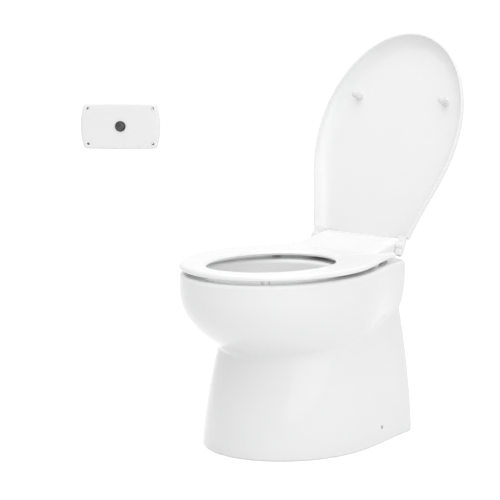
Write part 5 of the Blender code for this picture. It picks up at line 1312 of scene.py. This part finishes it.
def screw_head(name, centre, facing, radius, height):
    """A domed, slotted head that stands on a face and looks along `facing`."""
    dome = [(0, -SCREW_SUNK), (radius, -SCREW_SUNK), (radius, height * SCREW_SIDE_SHARE)]
    for step in range(1, 9):
        angle = math.pi / 2 * step / 8
        rise = mix(SCREW_SIDE_SHARE, 1.0, math.sin(angle))
        dome.append((radius * math.cos(angle), height * rise))
    turn = Vector(facing).to_track_quat("Z", "Y").to_matrix().to_4x4()
    place = Matrix.Translation(centre) @ turn
    head = keep_piece(name, spun(dome, place, 32), steel, "toilet", [])
    size = (radius * SLOT_LENGTH_SHARE, radius * SLOT_WIDTH_SHARE, height, 1.0)
    slot_place = place @ Matrix.Translation((0, 0, height)) @ Matrix.Diagonal(size)
    slot = bmesh.new()
    bmesh.ops.create_cube(slot, size=1.0, matrix=slot_place)
    carve(head, slot)
    smooth_up_to(head.data, 40.0)


# %% The screws
BRACKET_THICKNESS = 0.004
BRACKET_SCREW_X = 0.021
BRACKET_SCREW_Z = 0.012
BRACKET_SCREW = {"radius": 0.0028, "height": 0.0018}
CLAMP_SCREW_INSET = 0.0045
CLAMP_SCREW_AHEAD = 0.009
CLAMP_SCREW = {"radius": 0.0034, "height": 0.0026}
BASE_TOP = 0.008
BASE_SCREW_INSET_X = 0.006
BASE_SCREW_INSET_Y = 0.007
BASE_SCREW = {"radius": 0.0036, "height": 0.0020}
low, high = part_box("rinse_valve_body")
middle = (low + high) / 2
for column, x in (("right", -BRACKET_SCREW_X), ("left", BRACKET_SCREW_X)):
    for row, z in (("low", -BRACKET_SCREW_Z), ("high", BRACKET_SCREW_Z)):
        centre = (middle.x + x, high.y - BRACKET_THICKNESS, middle.z + z)
        screw_head(f"bracket_screw_{column}_{row}", centre, (0, -1, 0), **BRACKET_SCREW)
low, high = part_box("outlet_clamp")
middle = (low + high) / 2
centre = (high.x - CLAMP_SCREW_INSET, middle.y - CLAMP_SCREW_AHEAD, middle.z)
screw_head("clamp_screw", centre, (0, -1, 0), **CLAMP_SCREW)
low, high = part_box("pump_base")
for column, x in (("right", low.x + BASE_SCREW_INSET_X), ("left", high.x - BASE_SCREW_INSET_X)):
    for row, y in (("front", low.y + BASE_SCREW_INSET_Y), ("back", high.y - BASE_SCREW_INSET_Y)):
        screw_head(f"base_screw_{column}_{row}", (x, y, BASE_TOP), (0, 0, 1), **BASE_SCREW)

# %% [markdown]
# ## A white studio
#
# The picture's background is pure white with hardly a shadow. The world is plain white to the camera
# and in reflections, and dimmer as a source of light, so that the lamps can shape the forms. The
# floor is matt white with a little glow for the camera and in reflections, which lifts it to white
# and still lets the shadow under the foot show. Two large lamps, one at the camera's right and one
# above, give the soft change from the light side to the dim one.

# %% World
WORLD_LIGHT = 0.68
world = bpy.data.worlds.new("studio")
bpy.context.scene.world = world
world.use_nodes = True
tree = world.node_tree
rays = node(tree, "ShaderNodeLightPath")
seen = rays.maths("MAXIMUM", rays.out("Is Camera Ray"), rays.out("Is Glossy Ray"))
seen = rays.maths("MAXIMUM", seen, rays.out("Is Transmission Ray"))
background = tree.nodes["Background"]
background.inputs["Color"].default_value = (1.0, 1.0, 1.0, 1.0)
tree.links.new((seen * (1.0 - WORLD_LIGHT) + WORLD_LIGHT).socket, background.inputs["Strength"])

# %% Floor
FLOOR_SIZE = 30.0
FLOOR_WHITE = (0.88, 0.88, 0.88, 1.0)
FLOOR_GLOW = 0.45
FLOOR_DROP = 0.0006
floor_shape = bmesh.new()
bmesh.ops.create_grid(floor_shape, x_segments=1, y_segments=1, size=FLOOR_SIZE)
floor_mesh = bpy.data.meshes.new("floor")
floor_shape.to_mesh(floor_mesh)
floor_shape.free()
floor = bpy.data.objects.new("floor", floor_mesh)
floor.location.z = -FLOOR_DROP
bpy.context.scene.collection.objects.link(floor)
matt = bpy.data.materials.new("matt_floor")
matt.use_nodes = True
tree = matt.node_tree
shader = tree.nodes["Principled BSDF"]
shader.inputs["Base Color"].default_value = FLOOR_WHITE
shader.inputs["Roughness"].default_value = 1.0
shader.inputs["Specular IOR Level"].default_value = 0.0
shader.inputs["Emission Color"].default_value = (1.0, 1.0, 1.0, 1.0)
rays = node(tree, "ShaderNodeLightPath")
glow = rays.maths("MAXIMUM", rays.out("Is Camera Ray"), rays.out("Is Glossy Ray"))
tree.links.new((glow * FLOOR_GLOW).socket, shader.inputs["Emission Strength"])
floor_mesh.materials.append(matt)


# %% Lamps
def lamp(name, place, target, power, size):
    """A square area lamp that faces a point."""
    light = bpy.data.lights.new(name, "AREA")
    light.energy = power
    light.size = size
    holder = bpy.data.objects.new(name, light)
    holder.location = place
    aim = Vector(place) - Vector(target)
    holder.rotation_euler = aim.to_track_quat("Z", "Y").to_euler()
    bpy.context.scene.collection.objects.link(holder)


AIM = (0.0, -0.2, 0.35)
lamp("key", (2.5, -1.3, 1.6), AIM, power=20.0, size=3.0)
lamp("top", (0.0, -0.4, 2.5), AIM, power=18.0, size=2.4)
bpy.context.scene.view_settings.view_transform = "Standard"
